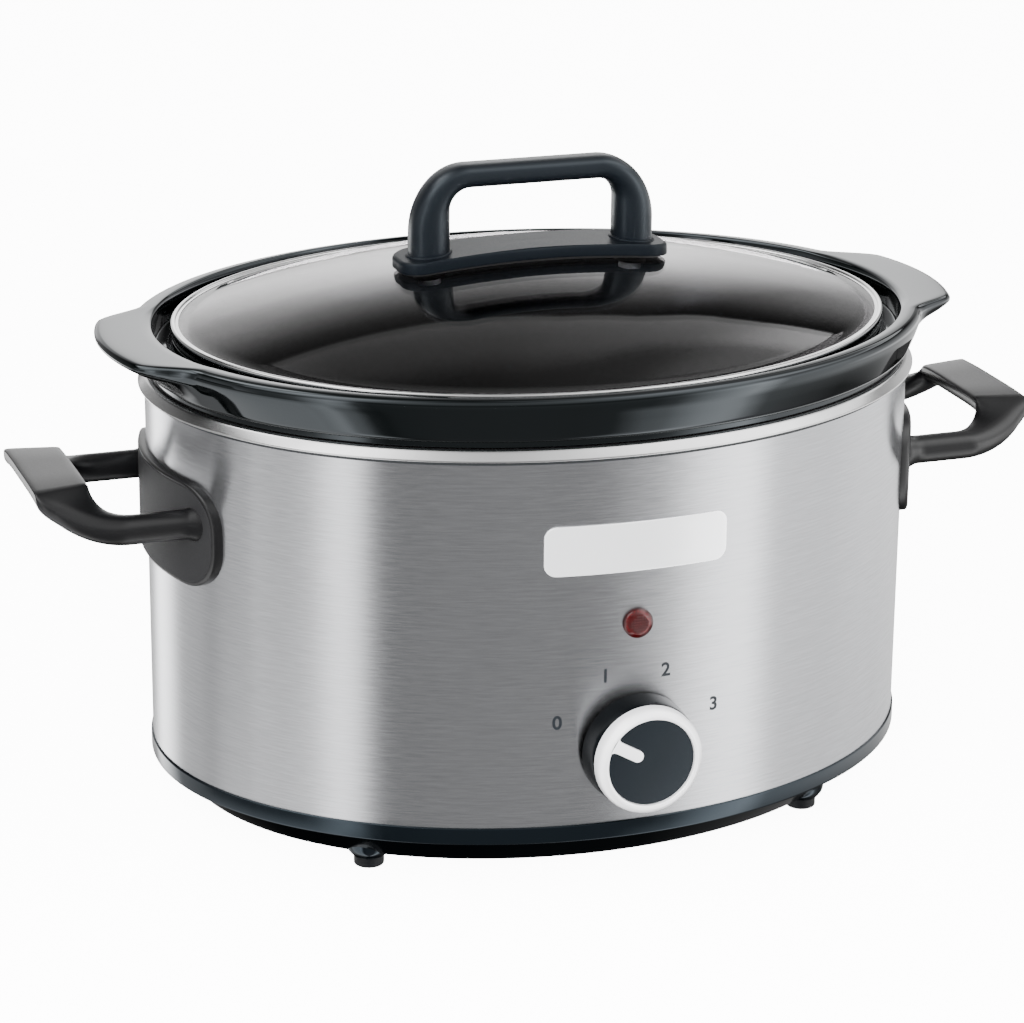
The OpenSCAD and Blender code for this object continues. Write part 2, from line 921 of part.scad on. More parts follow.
module switch_wires() {
    mid_y = (block_y + switch_back) / 2;
    color("royalblue")
        for (side = [-1, 1])
            wire([[side * 8, block_y - block_w / 2 - 0.1, block_z], [side * 8, mid_y, block_z],
                [side * 3, mid_y, blade_z], [side * 3, blade_back, blade_z]]);
}

module heater_leads() {
    end = well_in(band_z) - seat - band_t / 2;
    x = 46;
    y = -(shell_b - end) * sqrt(1 - pow(x / (shell_a - end), 2));
    color("firebrick")
        for (side = [-1, 1])
            wire([[side * 8, blade_back, blade_z], [side * 8, switch_back + 22, blade_z],
                [side * x, y, band_z - 40], [side * x, y, band_z - 0.1]]);
}

// ---- Crock ----

module crock() {
    outer = bowl(crock_low_in, crock_top_in, crock_z, seat_z, well_corner);
    inner = bowl(crock_low_in + crock_wall, crock_top_in + crock_wall, crock_z + crock_floor,
        ledge_z - 6, well_corner);
    land_in = 2;
    a = flange_a;
    b = flange_b;
    color("black")
        loft(concat(
            [for (p = outer) inset_ring(p[0], p[1])],
            [inset_ring(land_in, seat_z),
                ring(shell_a - land_in, shell_b - land_in, skirt_z, 0, 1),
                ring(a - 5.2, b - 1.8, skirt_z, 0, 1),
                ring(a - 4.2, b - 0.9, skirt_z + 0.9, 0, 0.95),
                ring(a - 2.5, b - 0.4, skirt_z + 0.25 * skirt_h, 0.03, 0.5),
                ring(a - 1, b - 0.1, skirt_z + 0.46 * skirt_h, 0.2, 0.1),
                ring(a - 0.4, b, skirt_z + 0.6 * skirt_h, 0.65),
                ring(a - 0.1, b, skirt_z + 0.72 * skirt_h, 0.95),
                ring(a, b, flange_top - 1.6, 1),
                ring(a - 0.6, b - 0.6, flange_top - 0.4, 1),
                ring(a - 1.8, b - 1.8, flange_top, 1),
                ring(channel_a + 1.2, channel_b + 1.2, flange_top - 0.3),
                ring(channel_a, channel_b, flange_top - 1.4),
                ring(channel_a - 1, channel_b - 0.7, ledge_z + 1),
                ring(channel_a - 1.9, channel_b - 1.2, ledge_z),
                inset_ring(crock_top_in + crock_wall - 2, ledge_z),
                inset_ring(crock_top_in + crock_wall - 0.3, ledge_z - 1.2)],
            [for (p = reversed(inner)) inset_ring(p[0], p[1])]));
}

// ---- Lid ----

dome_steps = [1, 0.9, 0.76, 0.62, 0.46, 0.3, 0.12];

// Places its children on the glass over one of the lid screws, with +Z
// standing straight off the dome
module at_lid_screw(side) {
    x = leg_x;
    translate([side * x, 0, apex_z - dome_h * pow(x / dome_a, 2)])
        rotate([0, side * lid_screw_tilt, 0])
            children();
}

module lid_glass() {
    color([0.25, 0.25, 0.27, 0.5])
        difference() {
            loft(concat(
                [for (s = reversed(dome_steps))
                    ring(s * dome_a, s * dome_b, glass_z + dome_h * (1 - s * s))],
                [ring(glass_a, glass_b, glass_z), ring(glass_a, glass_b, glass_z + glass_t)],
                [for (s = dome_steps)
                    ring(s * dome_a, s * dome_b, glass_z + glass_t + dome_h * (1 - s * s))]));
            for (side = [-1, 1])
                at_lid_screw(side)
                    translate([0, 0, -10])
                        cylinder(d = lid_screw_d + 1, h = 20);
        }
}

module lid_rim() {
    a = rim_a;
    b = rim_b;
    slot = 1.4;
    z = rim_z;
    color("silver")
        loft_loop([for (p = [[rim_w, 0], [0.9, 0], [0, 1], [0, rim_h - 1.1], [0.5, rim_h - 0.3],
                [1.2, rim_h], [rim_w, rim_h - 0.1], [rim_w, rim_h - rim_t],
                [slot, rim_h - rim_t], [slot, rim_t], [rim_w, rim_t]])
            ring(a - p[0], b - p[0], z + p[1])]);
}

// Slab of the given thickness that lies on the dome, d above it
module dome_slab(l, w, r, d, t) {
    intersection() {
        translate([0, 0, apex_z - dome_h])
            linear_extrude(dome_h + 20)
                rounded_rect(l, w, r);
        translate([0, 0, apex_z - dome_r])
            rotate([90, 0, 0])
                difference() {
                    cylinder(r = dome_r + d + t, h = 2 * w, center = true, $fn = 720);
                    cylinder(r = dome_r + d, h = 3 * w, center = true, $fn = 720);
                }
    }
}

module lid_handle_gasket() {
    color("dimgray")
        difference() {
            dome_slab(foot_plate_l - 5, foot_plate_w - 5, 7, seat, gasket_t);
            lid_screw_holes(lid_screw_d + 1);
        }
}

module lid_handle_plate() {
    color("darkslategray")
        difference() {
            dome_slab(foot_plate_l, foot_plate_w, 8.5, gasket_t + 2 * seat, foot_plate_t);
            lid_screw_holes(lid_screw_d + 2 * screw_play);
        }
}

module lid_screw_holes(d) {
    for (side = [-1, 1])
        at_lid_screw(side)
            translate([0, 0, -8])
                cylinder(d = d, h = 28);
}

// Bow: two round legs, wide corners and a flatter bar, in the plane y = 0
module lid_handle() {
    root_z = plate_top_z - dome_h * pow((leg_x + leg_d / 2) / dome_a, 2) - 0.2;
    top_z = plate_top_z + bow_h - bar_t / 2;
    corner_x = 17;
    corner_z = 20;
    half = concat(
        [for (k = [0, 0.35, 0.7])
            [leg_x, root_z + (top_z - corner_z - root_z) * k, 0.3 * k]],
        [for (k = [0:8])
            let (t = 90 * k / 8)
            [leg_x - corner_x * (1 - cos(t)), top_z - corner_z * (1 - sin(t)),
                0.3 + 0.7 * ramp(0, 8, k)]],
        [[(leg_x - corner_x) / 2, top_z, 1]]);
    path = concat([for (p = half) [-p[0], p[1], p[2]]], [[0, top_z, 1]], reversed(half));
    n = len(path);
    color("darkslategray")
        difference() {
            skin([for (i = [0:n - 1])
                let (p = path[i], a = path[max(0, i - 1)], b = path[min(n - 1, i + 1)],
                    w = leg_d / 2 + (bar_w - leg_d) / 2 * p[2],
                    h = leg_d / 2 + (bar_t - leg_d) / 2 * p[2])
                section([p[0], 0, p[1]], unit([b[0] - a[0], 0, b[1] - a[1]]), [0, 1, 0],
                    h, w, 2.3, 20)]);
            lid_screw_holes(lid_screw_d + 2 * seat);
            dome_slab(2 * foot_plate_l, 2 * foot_plate_w, 8.5, -20,
                20 + gasket_t + 3 * seat + foot_plate_t);
        }
}

module lid_screws() {
    color("silver")
        for (side = [-1, 1])
            at_lid_screw(side) {
                translate([0, 0, -glass_t - 2.2 - 2.4])
                    cylinder(d = 8.4, h = 2.4);
                translate([0, 0, -glass_t - 2.3])
                    cylinder(d = lid_screw_d, h = glass_t + 2.3 + gasket_t + foot_plate_t + 11);
            }
}

module lid_washers() {
    color("whitesmoke")
        for (side = [-1, 1])
            at_lid_screw(side)
                difference() {
                    translate([0, 0, -glass_t - 2.15])
                        cylinder(d = 12, h = 1.9);
                    translate([0, 0, -glass_t - 3])
                        cylinder(d = lid_screw_d + 2 * screw_play, h = 4);
                }
}

// ---- Assembly ----

module placed() {
    translate([0, y_shift, 0])
        children();
}

placed() housing_wrap();
placed() heating_well();
placed() base_pan();
placed() foot(-1, -1);  // foot_front_left
placed() foot(1, -1);  // foot_front_right
placed() foot(-1, 1);  // foot_rear_left
placed() foot(1, 1);  // foot_rear_right
placed() heater_band();
placed() heater_strap();
placed() heat_shield();
placed() centre_stud();
placed() stud_spacer();
placed() shield_nut();
placed() base_washer();
placed() base_nut();
placed() thermal_fuse();
placed() switch_body();
placed() switch_cover();
placed() switch_terminals();
placed() switch_nut();
placed() switch_shaft();
placed() knob_body();
placed() knob_disc();
placed() knob_ring();
placed() lamp_lens();
placed() lamp_bulb();
placed() lamp_base();
placed() lamp_clip();
placed() badge_plate();
placed() handle_left();
placed() handle_right();
placed() handle_bracket_left();
placed() handle_bracket_right();
placed() handle_screws_left();
placed() handle_screws_right();
placed() cord_gland();
placed() gland_nut();
placed() terminal_block();
placed() switch_wires();
placed() heater_leads();
placed() crock();
placed() lid_glass();
placed() lid_rim();
placed() lid_handle();
placed() lid_handle_plate();
placed() lid_handle_gasket();
placed() lid_screws();
placed() lid_washers();
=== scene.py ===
"""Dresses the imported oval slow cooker: steel housing, glazed crock, glass lid, handles and knob."""
import math
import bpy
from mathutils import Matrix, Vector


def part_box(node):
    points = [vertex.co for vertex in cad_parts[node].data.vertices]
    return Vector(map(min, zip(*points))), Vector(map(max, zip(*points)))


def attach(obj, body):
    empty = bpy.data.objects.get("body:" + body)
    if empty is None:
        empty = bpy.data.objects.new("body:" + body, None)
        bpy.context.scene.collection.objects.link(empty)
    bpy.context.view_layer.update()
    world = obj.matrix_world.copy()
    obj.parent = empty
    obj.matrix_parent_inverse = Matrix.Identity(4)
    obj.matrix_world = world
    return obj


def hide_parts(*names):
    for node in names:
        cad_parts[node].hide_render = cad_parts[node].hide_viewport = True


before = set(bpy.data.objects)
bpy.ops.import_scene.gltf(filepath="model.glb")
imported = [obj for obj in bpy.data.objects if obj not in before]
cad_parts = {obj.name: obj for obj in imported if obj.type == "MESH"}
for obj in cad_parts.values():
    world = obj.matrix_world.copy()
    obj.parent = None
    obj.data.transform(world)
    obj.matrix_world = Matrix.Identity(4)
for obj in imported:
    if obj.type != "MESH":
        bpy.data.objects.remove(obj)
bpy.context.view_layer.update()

from types import SimpleNamespace

import bpy
import bmesh
from mathutils import Matrix, Vector

bl_info = {
    "name": "Oval slow cooker dressing",
    "version": (1, 0, 0),
    "blender": (4, 5, 0),
    "location": "View3D > Sidebar > Slow cooker",
    "description": "Makes the outer pieces and finishes of an oval slow cooker around its packed frame",
    "category": "Object",
}

MM = 0.001
# Points round an oval, round the crock and round a rod's section.
AROUND, CROCK_AROUND, SECTION_STEPS = 300, 320, 56
# Steps over a plate's lower and upper edge, and the angle past which an edge is drawn sharp.
LOW_EDGE_STEPS, EDGE_STEPS, SHARP_DEGREES = 3, 4, 35
# In millimetres: the wall's sheet, the lid's foot plate over the glass, half of the flange without
# its lugs, the knob's gap to the wall and the knob's depth.
STEEL_GAUGE, PLATE_RISE, FLANGE_HALF, KNOB_GAP, KNOB_DEPTH = 0.8, 5.8, 153.7, 1.2, 15
# The pointer's turn from upright at rest, in degrees.
POINTER_REST = 60
# The middles of the dial's numbers 0 to 3 from the knob's axis, and a figure's share of its type size.
NUMERAL_PLACES = ((-29.4, 11.4), (-11.9, 28.2), (11.4, 28.0), (31.3, 11.5))
FIGURE_SHARE = 0.72


def node_box(node):
    """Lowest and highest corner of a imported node, in millimetres."""
    lo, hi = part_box(node)
    return [v / MM for v in lo], [v / MM for v in hi]


def half(node, axis):
    lo, hi = node_box(node)
    return (hi[axis] - lo[axis]) / 2


WALL_LO, WALL_HI = node_box("housing_wrap")
MID_Y = (WALL_LO[1] + WALL_HI[1]) / 2
FRONT_Y = WALL_LO[1]
RING_LO, RING_HI = node_box("knob_ring")
APEX = node_box("lid_handle_plate")[1][2] - PLATE_RISE


# ---- Sizes and colours that a user may change ----

def linear(hex_colour):
    """sRGB hex value to the linear colour that shaders use."""
    channels = [(hex_colour >> shift & 255) / 255 for shift in (16, 8, 0)]
    return tuple(c / 12.92 if c <= 0.04045 else ((c + 0.055) / 1.055) ** 2.4 for c in channels)


def length(name, description, millimetres):
    return bpy.props.FloatProperty(name=name, description=description, default=millimetres * MM,
                                   unit="LENGTH", subtype="DISTANCE", precision=5)


def colour(name, description, hex_colour):
    return bpy.props.FloatVectorProperty(name=name, description=description, size=3, min=0, max=1,
                                         default=linear(hex_colour), subtype="COLOR")


class CookerSizes(bpy.types.PropertyGroup):
    wall_a: length("Wall half length", "Half of the steel wall's long axis", half("housing_wrap", 0))
    wall_b: length("Wall half depth", "Half of the steel wall's short axis", half("housing_wrap", 1))
    wall_low: length("Wall foot", "Height of the steel wall's lower edge", WALL_LO[2])
    wall_top: length("Wall top", "Height of the steel wall's upper edge", WALL_HI[2])
    bead_out: length("Rim overhang", "How far the rolled rim stands out from the wall", 2.5)
    bead_h: length("Rim height", "Height of the rolled rim", 4.2)
    pan_h: length("Pan height", "Height of the base pan", 20)
    foot_x: length("Foot place along", "Distance of a foot from the middle, along the oval", 87)
    foot_y: length("Foot place across", "Distance of a foot from the middle, across the oval", 72.5)
    foot_d: length("Foot diameter", "Diameter of a rubber foot", 11.4)
    flange_a: length("Flange half length", "Half length of the crock's flange without its lugs",
                     FLANGE_HALF)
    flange_b: length("Flange half depth", "Half depth of the crock's flange", half("crock", 1))
    flange_top: length("Flange top", "Height of the crock's flange", node_box("crock")[1][2])
    lug_reach: length("Lug reach", "Reach of a lug past the flange", half("crock", 0) - FLANGE_HALF)
    lug_root: length("Lug root", "Half width of a lug at its root", 46)
    lug_tip: length("Lug tip", "Half width of a lug at its tip", 31)
    notch: length("Skirt notch", "How far the skirt is cut up under a lug", 1.2)
    rim_a: length("Lid rim half length", "Half length of the lid's steel rim", half("lid_rim", 0))
    rim_b: length("Lid rim half depth", "Half depth of the lid's steel rim", half("lid_rim", 1))
    rim_low: length("Lid rim foot", "Height of the lid rim's underside", node_box("lid_rim")[0][2])
    bow_half: length("Bow half span", "Half the distance between the bow's legs", 40.5)
    bow_top: length("Bow top", "Height of the top of the lid's bow", node_box("lid_handle")[1][2])
    grip_reach: length("Grip reach", "Half of the length over the side grips",
                       node_box("handle_right")[1][0])
    rod_d: length("Handle rod", "Diameter of a side handle's rods", 11)
    knob_z: length("Knob height", "Height of the knob's axis", (RING_LO[2] + RING_HI[2]) / 2)
    knob_d: length("Knob diameter", "Diameter of the knob's black skirt", 2 * half("knob_body", 0))
    numeral: length("Numeral height", "Height of the dial's numbers", 5.2)


class CookerColours(bpy.types.PropertyGroup):
    steel: colour("Brushed steel", "Housing wall", 0xC5C6C9)
    bright_steel: colour("Satin steel", "Rolled rim and lid rim", 0xDEDEDE)
    sheet: colour("Aluminised sheet", "Heating well and heat shield", 0xC4C6C8)
    pan: colour("Black moulding", "Base pan and knob skirt", 0x020406)
    glaze: colour("Black glaze", "Stoneware crock", 0x010202)
    glass: colour("Smoked glass", "Lid", 0xC9C6C8)
    slate: colour("Slate moulding", "Lid handle and knob disc", 0x080B0F)
    charcoal: colour("Charcoal moulding", "Side handles", 0x070708)
    silver: colour("Silver paint", "Knob ring and pointer", 0xF6F6F8)
    badge: colour("Polished plate", "Badge plate", 0xFAFBFD)
    ink: colour("Printed ink", "Dial numbers", 0x14181C)
    lamp: colour("Red lens", "Indicator lamp", 0x4A0508)


def sizes():
    """The sizes as plain millimetres."""
    group = bpy.context.scene.cooker_sizes
    return SimpleNamespace(**{k: getattr(group, k) / MM for k in CookerSizes.__annotations__})


def colours():
    group = bpy.context.scene.cooker_colours
    return SimpleNamespace(**{k: tuple(getattr(group, k)) for k in CookerColours.__annotations__})


# ---- Materials ----

def add(tree, kind, links=(), **settings):
    """Adds a node with its settings. links are its inputs, in order or by name or number: a number to
    set, or a socket or a node to link. A node stands for its first output."""
    node = tree.nodes.new(kind)
    for key, value in settings.items():
        setattr(node, key, value)
    for key, value in links.items() if isinstance(links, dict) else enumerate(links):
        if isinstance(value, bpy.types.Node):
            value = value.outputs[0]
        if isinstance(value, bpy.types.NodeSocket):
            tree.links.new(value, node.inputs[key])
        else:
            node.inputs[key].default_value = value
    return node


def new_material(name):
    """An empty node material and its tree."""
    material = bpy.data.materials.new(name)
    material.use_nodes = True
    material.node_tree.nodes.clear()
    return material, material.node_tree


# A Mix node's two colours and their result. Other sockets have the same names, so these go by number.
MIX_A, MIX_B, MIX_COLOUR = 6, 7, 2
METAL = {"Metallic": 1.0}
INNER = (0.08, 3, 0.3, 0.01, 0.04)
BLUISH = (0.82, 0.92, 1.0, 1)

# Each row: the colour, the roughness, how far the colour varies and over how many millimetres, the
# grain's size and height in millimetres, how far the roughness varies, and the shader's own numbers.
FINISHES = {
    # hot-dipped sheet, pressed: pale and faintly clouded, it blurs what it reflects
    "aluminised_steel_pressing": ("sheet", 0.34, 0.05, 12, 1.2, 0.01, 0.05, METAL),
    # rolled strip: bright and even, with soft highlights along the roll
    "satin_rolled_steel_rim": ("bright_steel", 0.22, 0.05, 6, 0.5, 0.002, 0.03, METAL),
    # polished strip: bright and even, with crisp highlights
    "polished_lid_rim_steel": ("bright_steel", 0.12, 0.05, 6, 0.5, 0.002, 0.03, METAL),
    # a thin dark strip just under the rolled rim: painted shade standing for the shadow line there,
    # dull and soft
    "black_silicone_rim_seal": (0x1C1E20, 0.5, 0.1, 8, 0.3, 0.01, 0.04, {}),
    # cut silicone sheet: dull black
    "black_silicone_gasket": (0x161616, 0.5, 0.1, 8, 0.3, 0.01, 0.04, {}),
    # ABS from a polished mould: deep black with clear bluish reflections
    "gloss_black_moulding": ("pan", 0.12, 0.1, 10, 2.5, 0.002, 0.02,
                             {"IOR": 1.5, "Specular Tint": (0.68, 0.85, 1.0, 1)}),
    # moulded rubber: black, matt and a little dusty
    "moulded_black_rubber": (0x050608, 0.6, 0.12, 3, 0.5, 0.02, 0.08, {"Specular IOR Level": 0.3}),
    # dipped and fired glaze: black and wet-looking, with a slow ripple
    "black_glazed_stoneware": ("glaze", 0.06, 0.15, 5, 5, 0.006, 0.015,
                               {"IOR": 1.55, "Specular Tint": (0.84, 0.93, 1.0, 1)}),
    # pressed soda-lime glass, fire polished: clear, lightly smoked, with a faint wave
    "smoked_tempered_glass": ("glass", 0.0, 0.01, 40, 30, 0.02, 0.0,
                              {"IOR": 1.52, "Transmission Weight": 1.0}),
    # compression-moulded phenolic: slate black with broad soft highlights
    "slate_phenolic_moulding": ("slate", 0.35, 0.08, 6, 0.9, 0.001, 0.02,
                                {"IOR": 1.5, "Specular Tint": BLUISH}),
    # the same from a spark-eroded mould: flatter, with weak highlights
    "slate_spark_textured_plate": ("slate", 0.42, 0.08, 6, 0.9, 0.001, 0.02,
                                   {"Specular IOR Level": 0.2, "Specular Tint": BLUISH}),
    # compression-moulded phenolic: neutral black with a satin sheen
    "charcoal_moulded_phenolic": ("charcoal", 0.33, 0.08, 5, 0.9, 0.0005, 0.02, {"IOR": 1.5}),
    # the same from a spark-eroded mould: an even dark grey without highlights
    "charcoal_spark_textured_moulding": (0x1F1F20, 0.6, 0.06, 5, 0.5, 0.01, 0.04,
                                         {"Specular IOR Level": 0.12}),
    # ABS from a fine-textured mould: black with a dim sheen
    "gloss_black_knob_moulding": ("pan", 0.2, 0.1, 6, 1.0, 0.001, 0.03, {"Specular IOR Level": 0.15}),
    # moulded ABS: slate, flat and satin
    "slate_knob_disc_moulding": ("slate", 0.35, 0.06, 4, 0.5, 0.001, 0.03,
                                 {"Specular Tint": (0.8, 0.92, 1.0, 1)}),
    # sprayed lacquer with fine metal flake: near white with a soft metal sheen
    "satin_silver_lacquer_on_moulding": ("silver", 0.34, 0.02, 3, 0.25, 0.002, 0.04,
                                         {"Metallic": 0.35}),
    # screen-printed ink: matt and slightly uneven
    "slate_screen_print_ink": ("ink", 0.55, 0.1, 1, 0.2, 0.004, 0.04, {}),
    # moulded clear red polycarbonate: glassy, with darker and lighter depths
    "clear_red_polycarbonate": ("lamp", 0.12, 0.7, 2.2, 0.6, 0.02, 0.05,
                                {"IOR": 1.58, "Transmission Weight": 0.7}),
    # polished and lacquered aluminium: near white and glossy
    "polished_aluminium_plate": ("badge", 0.14, 0.02, 12, 2, 0.001, 0.02, {"Metallic": 0.5}),
    # moulded nylon: black with a waxy sheen
    "black_nylon_gland": ("charcoal", 0.4, 0.1, 3, 0.3, 0.015, 0.04, {}),
    # zinc plate: grey with a slight blue, a little uneven
    "zinc_plated_steel": (0xB9BDC0, 0.32, *INNER, METAL),
    # rolled sheet: pale grey with blurred reflections
    "rolled_aluminised_shield": (0xC4C6C8, 0.3, *INNER, METAL),
    # fired and unglazed: chalky off-white
    "unglazed_white_ceramic": (0xE6E2D8, 0.6, *INNER, {}),
    # pressed paper board in phenolic resin: warm brown with a low sheen
    "brown_phenolic_paper_board": (0x7A4E2C, 0.45, *INNER, {}),
    # stamped sheet: yellow metal, fairly bright
    "stamped_brass": (0xC8A24C, 0.25, *INNER, METAL),
    # blown glass: clear with a pale orange cast
    "neon_lamp_glass": (0xF0C0A0, 0.05, *INNER, {"Transmission Weight": 0.8}),
    # moulded nylon: milky white with a waxy sheen
    "white_moulded_nylon": (0xDEDDD2, 0.4, *INNER, {}),
    # extruded sleeves and moulded washers: even silicone with a soft sheen
    "blue_silicone_wire_sleeve": (0x2A3F86, 0.4, *INNER, {}),
    "red_silicone_wire_sleeve": (0x8E2A22, 0.4, *INNER, {}),
    "black_silicone_washer": (0x161616, 0.5, *INNER, {}),
    # a sheet lit from behind: pale, even and without highlights
    "backlit_pale_floor": (0xF0F0F0, 0.9, 0.004, 300, 5, 0.0, 0.02, {
        "Specular IOR Level": 0.0, "Emission Color": (1, 1, 1, 1), "Emission Strength": 11.0}),
}


def finish(name):
    """Makes the finish of that name: patches of colour, and a grain that moves gloss and bump."""
    base, roughness, spread, mottle, grain, depth, uneven, shader = FINISHES[name]
    base = getattr(colours(), base) if isinstance(base, str) else linear(base)
    material, tree = new_material(name)
    place = add(tree, "ShaderNodeTexCoord").outputs["Object"]
    patch, grit = [add(tree, "ShaderNodeTexNoise", {
        "Vector": place, "Scale": 1 / (size * MM), "Detail": detail})
        for size, detail in ((mottle, 4.0), (grain, 2.0))]
    dark, light = [(*[min(1, c * k) for c in base], 1) for k in (1 - spread, 1 + spread)]
    tint = add(tree, "ShaderNodeMix", {0: patch, MIX_A: dark, MIX_B: light}, data_type="RGBA")
    gloss = add(tree, "ShaderNodeMapRange", (
        grit, 0.3, 0.7, max(0, roughness - uneven), roughness + uneven))
    bump = add(tree, "ShaderNodeBump", {"Height": grit, "Distance": depth * MM, "Strength": 1.0})
    surface = add(tree, "ShaderNodeBsdfPrincipled", {
        "Base Color": tint.outputs[MIX_COLOUR], "Roughness": gloss, "Normal": bump, **shader})
    add(tree, "ShaderNodeOutputMaterial", {"Surface": surface})
    return material


def brushed_stainless():
    """Stainless sheet, 0.8 mm, brushed along the oval with a fine belt: short level streaks that
    stretch each reflection upwards and downwards."""
    material, tree = new_material("brushed_stainless_sheet")
    uv = add(tree, "ShaderNodeTexCoord").outputs["UV"]
    streaks = []
    # real belt lines are 0.1 mm apart; these are drawn 0.45 mm apart so that they show
    for long, wide in ((8, 0.45), (22, 0.9)):
        place = add(tree, "ShaderNodeMapping", {
            "Vector": uv, "Scale": (1 / (long * MM), 1 / (wide * MM), 1)})
        streaks.append(add(tree, "ShaderNodeTexNoise", {
            "Vector": place, "Scale": 1.0, "Detail": 3.0, "Roughness": 0.6}, noise_dimensions="2D"))
    both = add(tree, "ShaderNodeMath", streaks, operation="ADD")
    tint = add(tree, "ShaderNodeMapRange", (both, 0.7, 1.3, 0.91, 1.06))
    shade = add(tree, "ShaderNodeVectorMath", {0: colours().steel, "Scale": tint}, operation="SCALE")
    gloss = add(tree, "ShaderNodeMapRange", (streaks[0], 0.3, 0.7, 0.23, 0.27))
    bump = add(tree, "ShaderNodeBump", {"Height": both, "Distance": 0.0004 * MM, "Strength": 1.0})
    level = add(tree, "ShaderNodeTangent", direction_type="UV_MAP", uv_map="UVMap")
    surface = add(tree, "ShaderNodeBsdfPrincipled", {
        "Base Color": shade, "Roughness": gloss, "Normal": bump, "Tangent": level, "Metallic": 1.0,
        "Anisotropic": 0.92, "Anisotropic Rotation": 0.25})
    add(tree, "ShaderNodeOutputMaterial", {"Surface": surface})
    return material


def woven_tape():
    """Woven glass fibre tape round the heating wire: cream, with 2 mm ribs of warp and weft."""
    material, tree = new_material("woven_glass_fibre_tape")
    place = add(tree, "ShaderNodeTexCoord").outputs["Object"]
    waves = [add(tree, "ShaderNodeTexWave", {
        "Vector": place, "Scale": 1 / (6.3 * MM) / 3.2, "Distortion": 1.0},
        bands_direction=way).outputs[1] for way in ("Z", "DIAGONAL")]
    weave = add(tree, "ShaderNodeMath", waves, operation="MULTIPLY")
    tint = add(tree, "ShaderNodeMix", {
        0: weave, MIX_A: (*linear(0xB9AB86), 1), MIX_B: (*linear(0xE3DABD), 1)}, data_type="RGBA")
    bump = add(tree, "ShaderNodeBump", {"Height": weave, "Distance": 0.3 * MM, "Strength": 1.0})
    surface = add(tree, "ShaderNodeBsdfPrincipled", {
        "Base Color": tint.outputs[MIX_COLOUR], "Roughness": 0.85, "Normal": bump})
    add(tree, "ShaderNodeOutputMaterial", {"Surface": surface})
    return material


# ---- Shapes, in millimetres ----

def ramp(low, high, value):
    t = min(1, max(0, (value - low) / (high - low)))
    return t * t * (3 - 2 * t)


def rounded(profile, steps):
    """Rounds the corners of a profile. Each point is a tuple of numbers with its radius last, and
    the first and third numbers are its place."""
    points = []
    count = len(profile)
    for i, corner in enumerate(profile):
        p, r = Vector(corner[:-1]), corner[-1]
        if r <= 0 or i in (0, count - 1):
            points.append(tuple(p))
            continue
        ends = []
        for other in (profile[i - 1][:-1], profile[i + 1][:-1]):
            way = Vector(other) - p
            far = math.hypot(way[0], way[2])
            ends.append(p + way * min(0.49, r / max(far, 1e-6)))
        for k in range(steps + 1):
            t = k / steps
            points.append(tuple(ends[0] * (1 - t) ** 2 + p * 2 * t * (1 - t) + ends[1] * t ** 2))
    return points


def inset(distance, z, radius=0):
    """A profile point that lies that far inside the steel wall's outline."""
    s = sizes()
    return (s.wall_a - distance, s.wall_b - distance, z, 0, 0, radius)


def ring(a, b, z, lug=0, lift=0, radius=0):
    return (a, b, z, lug, lift, radius)


def oval_rings(profile, count=AROUND):
    """Turns each profile point into an oval of points, with its share of the lugs and their notch."""
    s = sizes()
    rings = []
    for a, b, z, lug, lift in profile:
        row = []
        for i in range(count):
            angle = 2 * math.pi * i / count
            x, y = a * math.cos(angle), b * math.sin(angle)
            end = ramp(s.lug_root, s.lug_tip, abs(y))
            cut = ramp(s.lug_tip + 5, s.lug_tip - 9, abs(y))
            reach = math.copysign(lug * s.lug_reach * end, x)
            row.append((x + reach, y + MID_Y, z + lift * s.notch * cut))
        rings.append(row)
    return rings


def sides(rows, closed=False):
    """Faces between rows of points, and between the last and the first row where closed."""
    n, count = len(rows[0]), len(rows)
    return [(k * n + i, k * n + (i + 1) % n, (k + 1) % count * n + (i + 1) % n, (k + 1) % count * n + i)
            for k in range(count if closed else count - 1) for i in range(n)]


def skin(rows, closed=False):
    """A shape through rows of points. Open ends are closed by a fan round their middle."""
    points = [p for row in rows for p in row]
    faces = sides(rows, closed)
    n = len(rows[0])
    for first in () if closed else (0, len(points) - n):
        points.append(tuple(sum(p[c] for p in points[first:first + n]) / n for c in range(3)))
        faces += [(first + i, first + (i + 1) % n, len(points) - 1) for i in range(n)]
    return points, faces


def piece(name, parts, material, body, replaces, uv=None):
    """Makes one object from parts, each a pair of points in millimetres and faces."""
    shape = bmesh.new()
    for points, faces in parts:
        verts = [shape.verts.new([c * MM for c in p]) for p in points]
        for face in faces:
            shape.faces.new([verts[i] for i in face])
    bmesh.ops.remove_doubles(shape, verts=shape.verts, dist=1e-6)
    bmesh.ops.recalc_face_normals(shape, faces=shape.faces)
    if uv:
        layer = shape.loops.layers.uv.new("UVMap")
        for face in shape.faces:
            for loop, place in zip(face.loops, uv([loop.vert.co / MM for loop in face.loops])):
                loop[layer].uv = place
    mesh = bpy.data.meshes.new(name)
    shape.to_mesh(mesh)
    shape.free()
    return dress(bpy.data.objects.new(name, mesh), material, body, replaces)


def dress(obj, material, body, replaces):
    """Links an object, shades it, parents it to its body and hides the imported parts it replaces."""
    bpy.context.scene.collection.objects.link(obj)
    obj.data.shade_smooth()
    obj.data.set_sharp_from_angle(angle=math.radians(SHARP_DEGREES))
    obj.data.materials.clear()
    obj.data.materials.append(material)
    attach(obj, body)
    if replaces:
        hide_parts(*replaces)
    return obj


def wall_y(x):
    """Y of the front of the housing at x."""
    s = sizes()
    return MID_Y - s.wall_b * math.sqrt(max(0, 1 - (x / s.wall_a) ** 2))


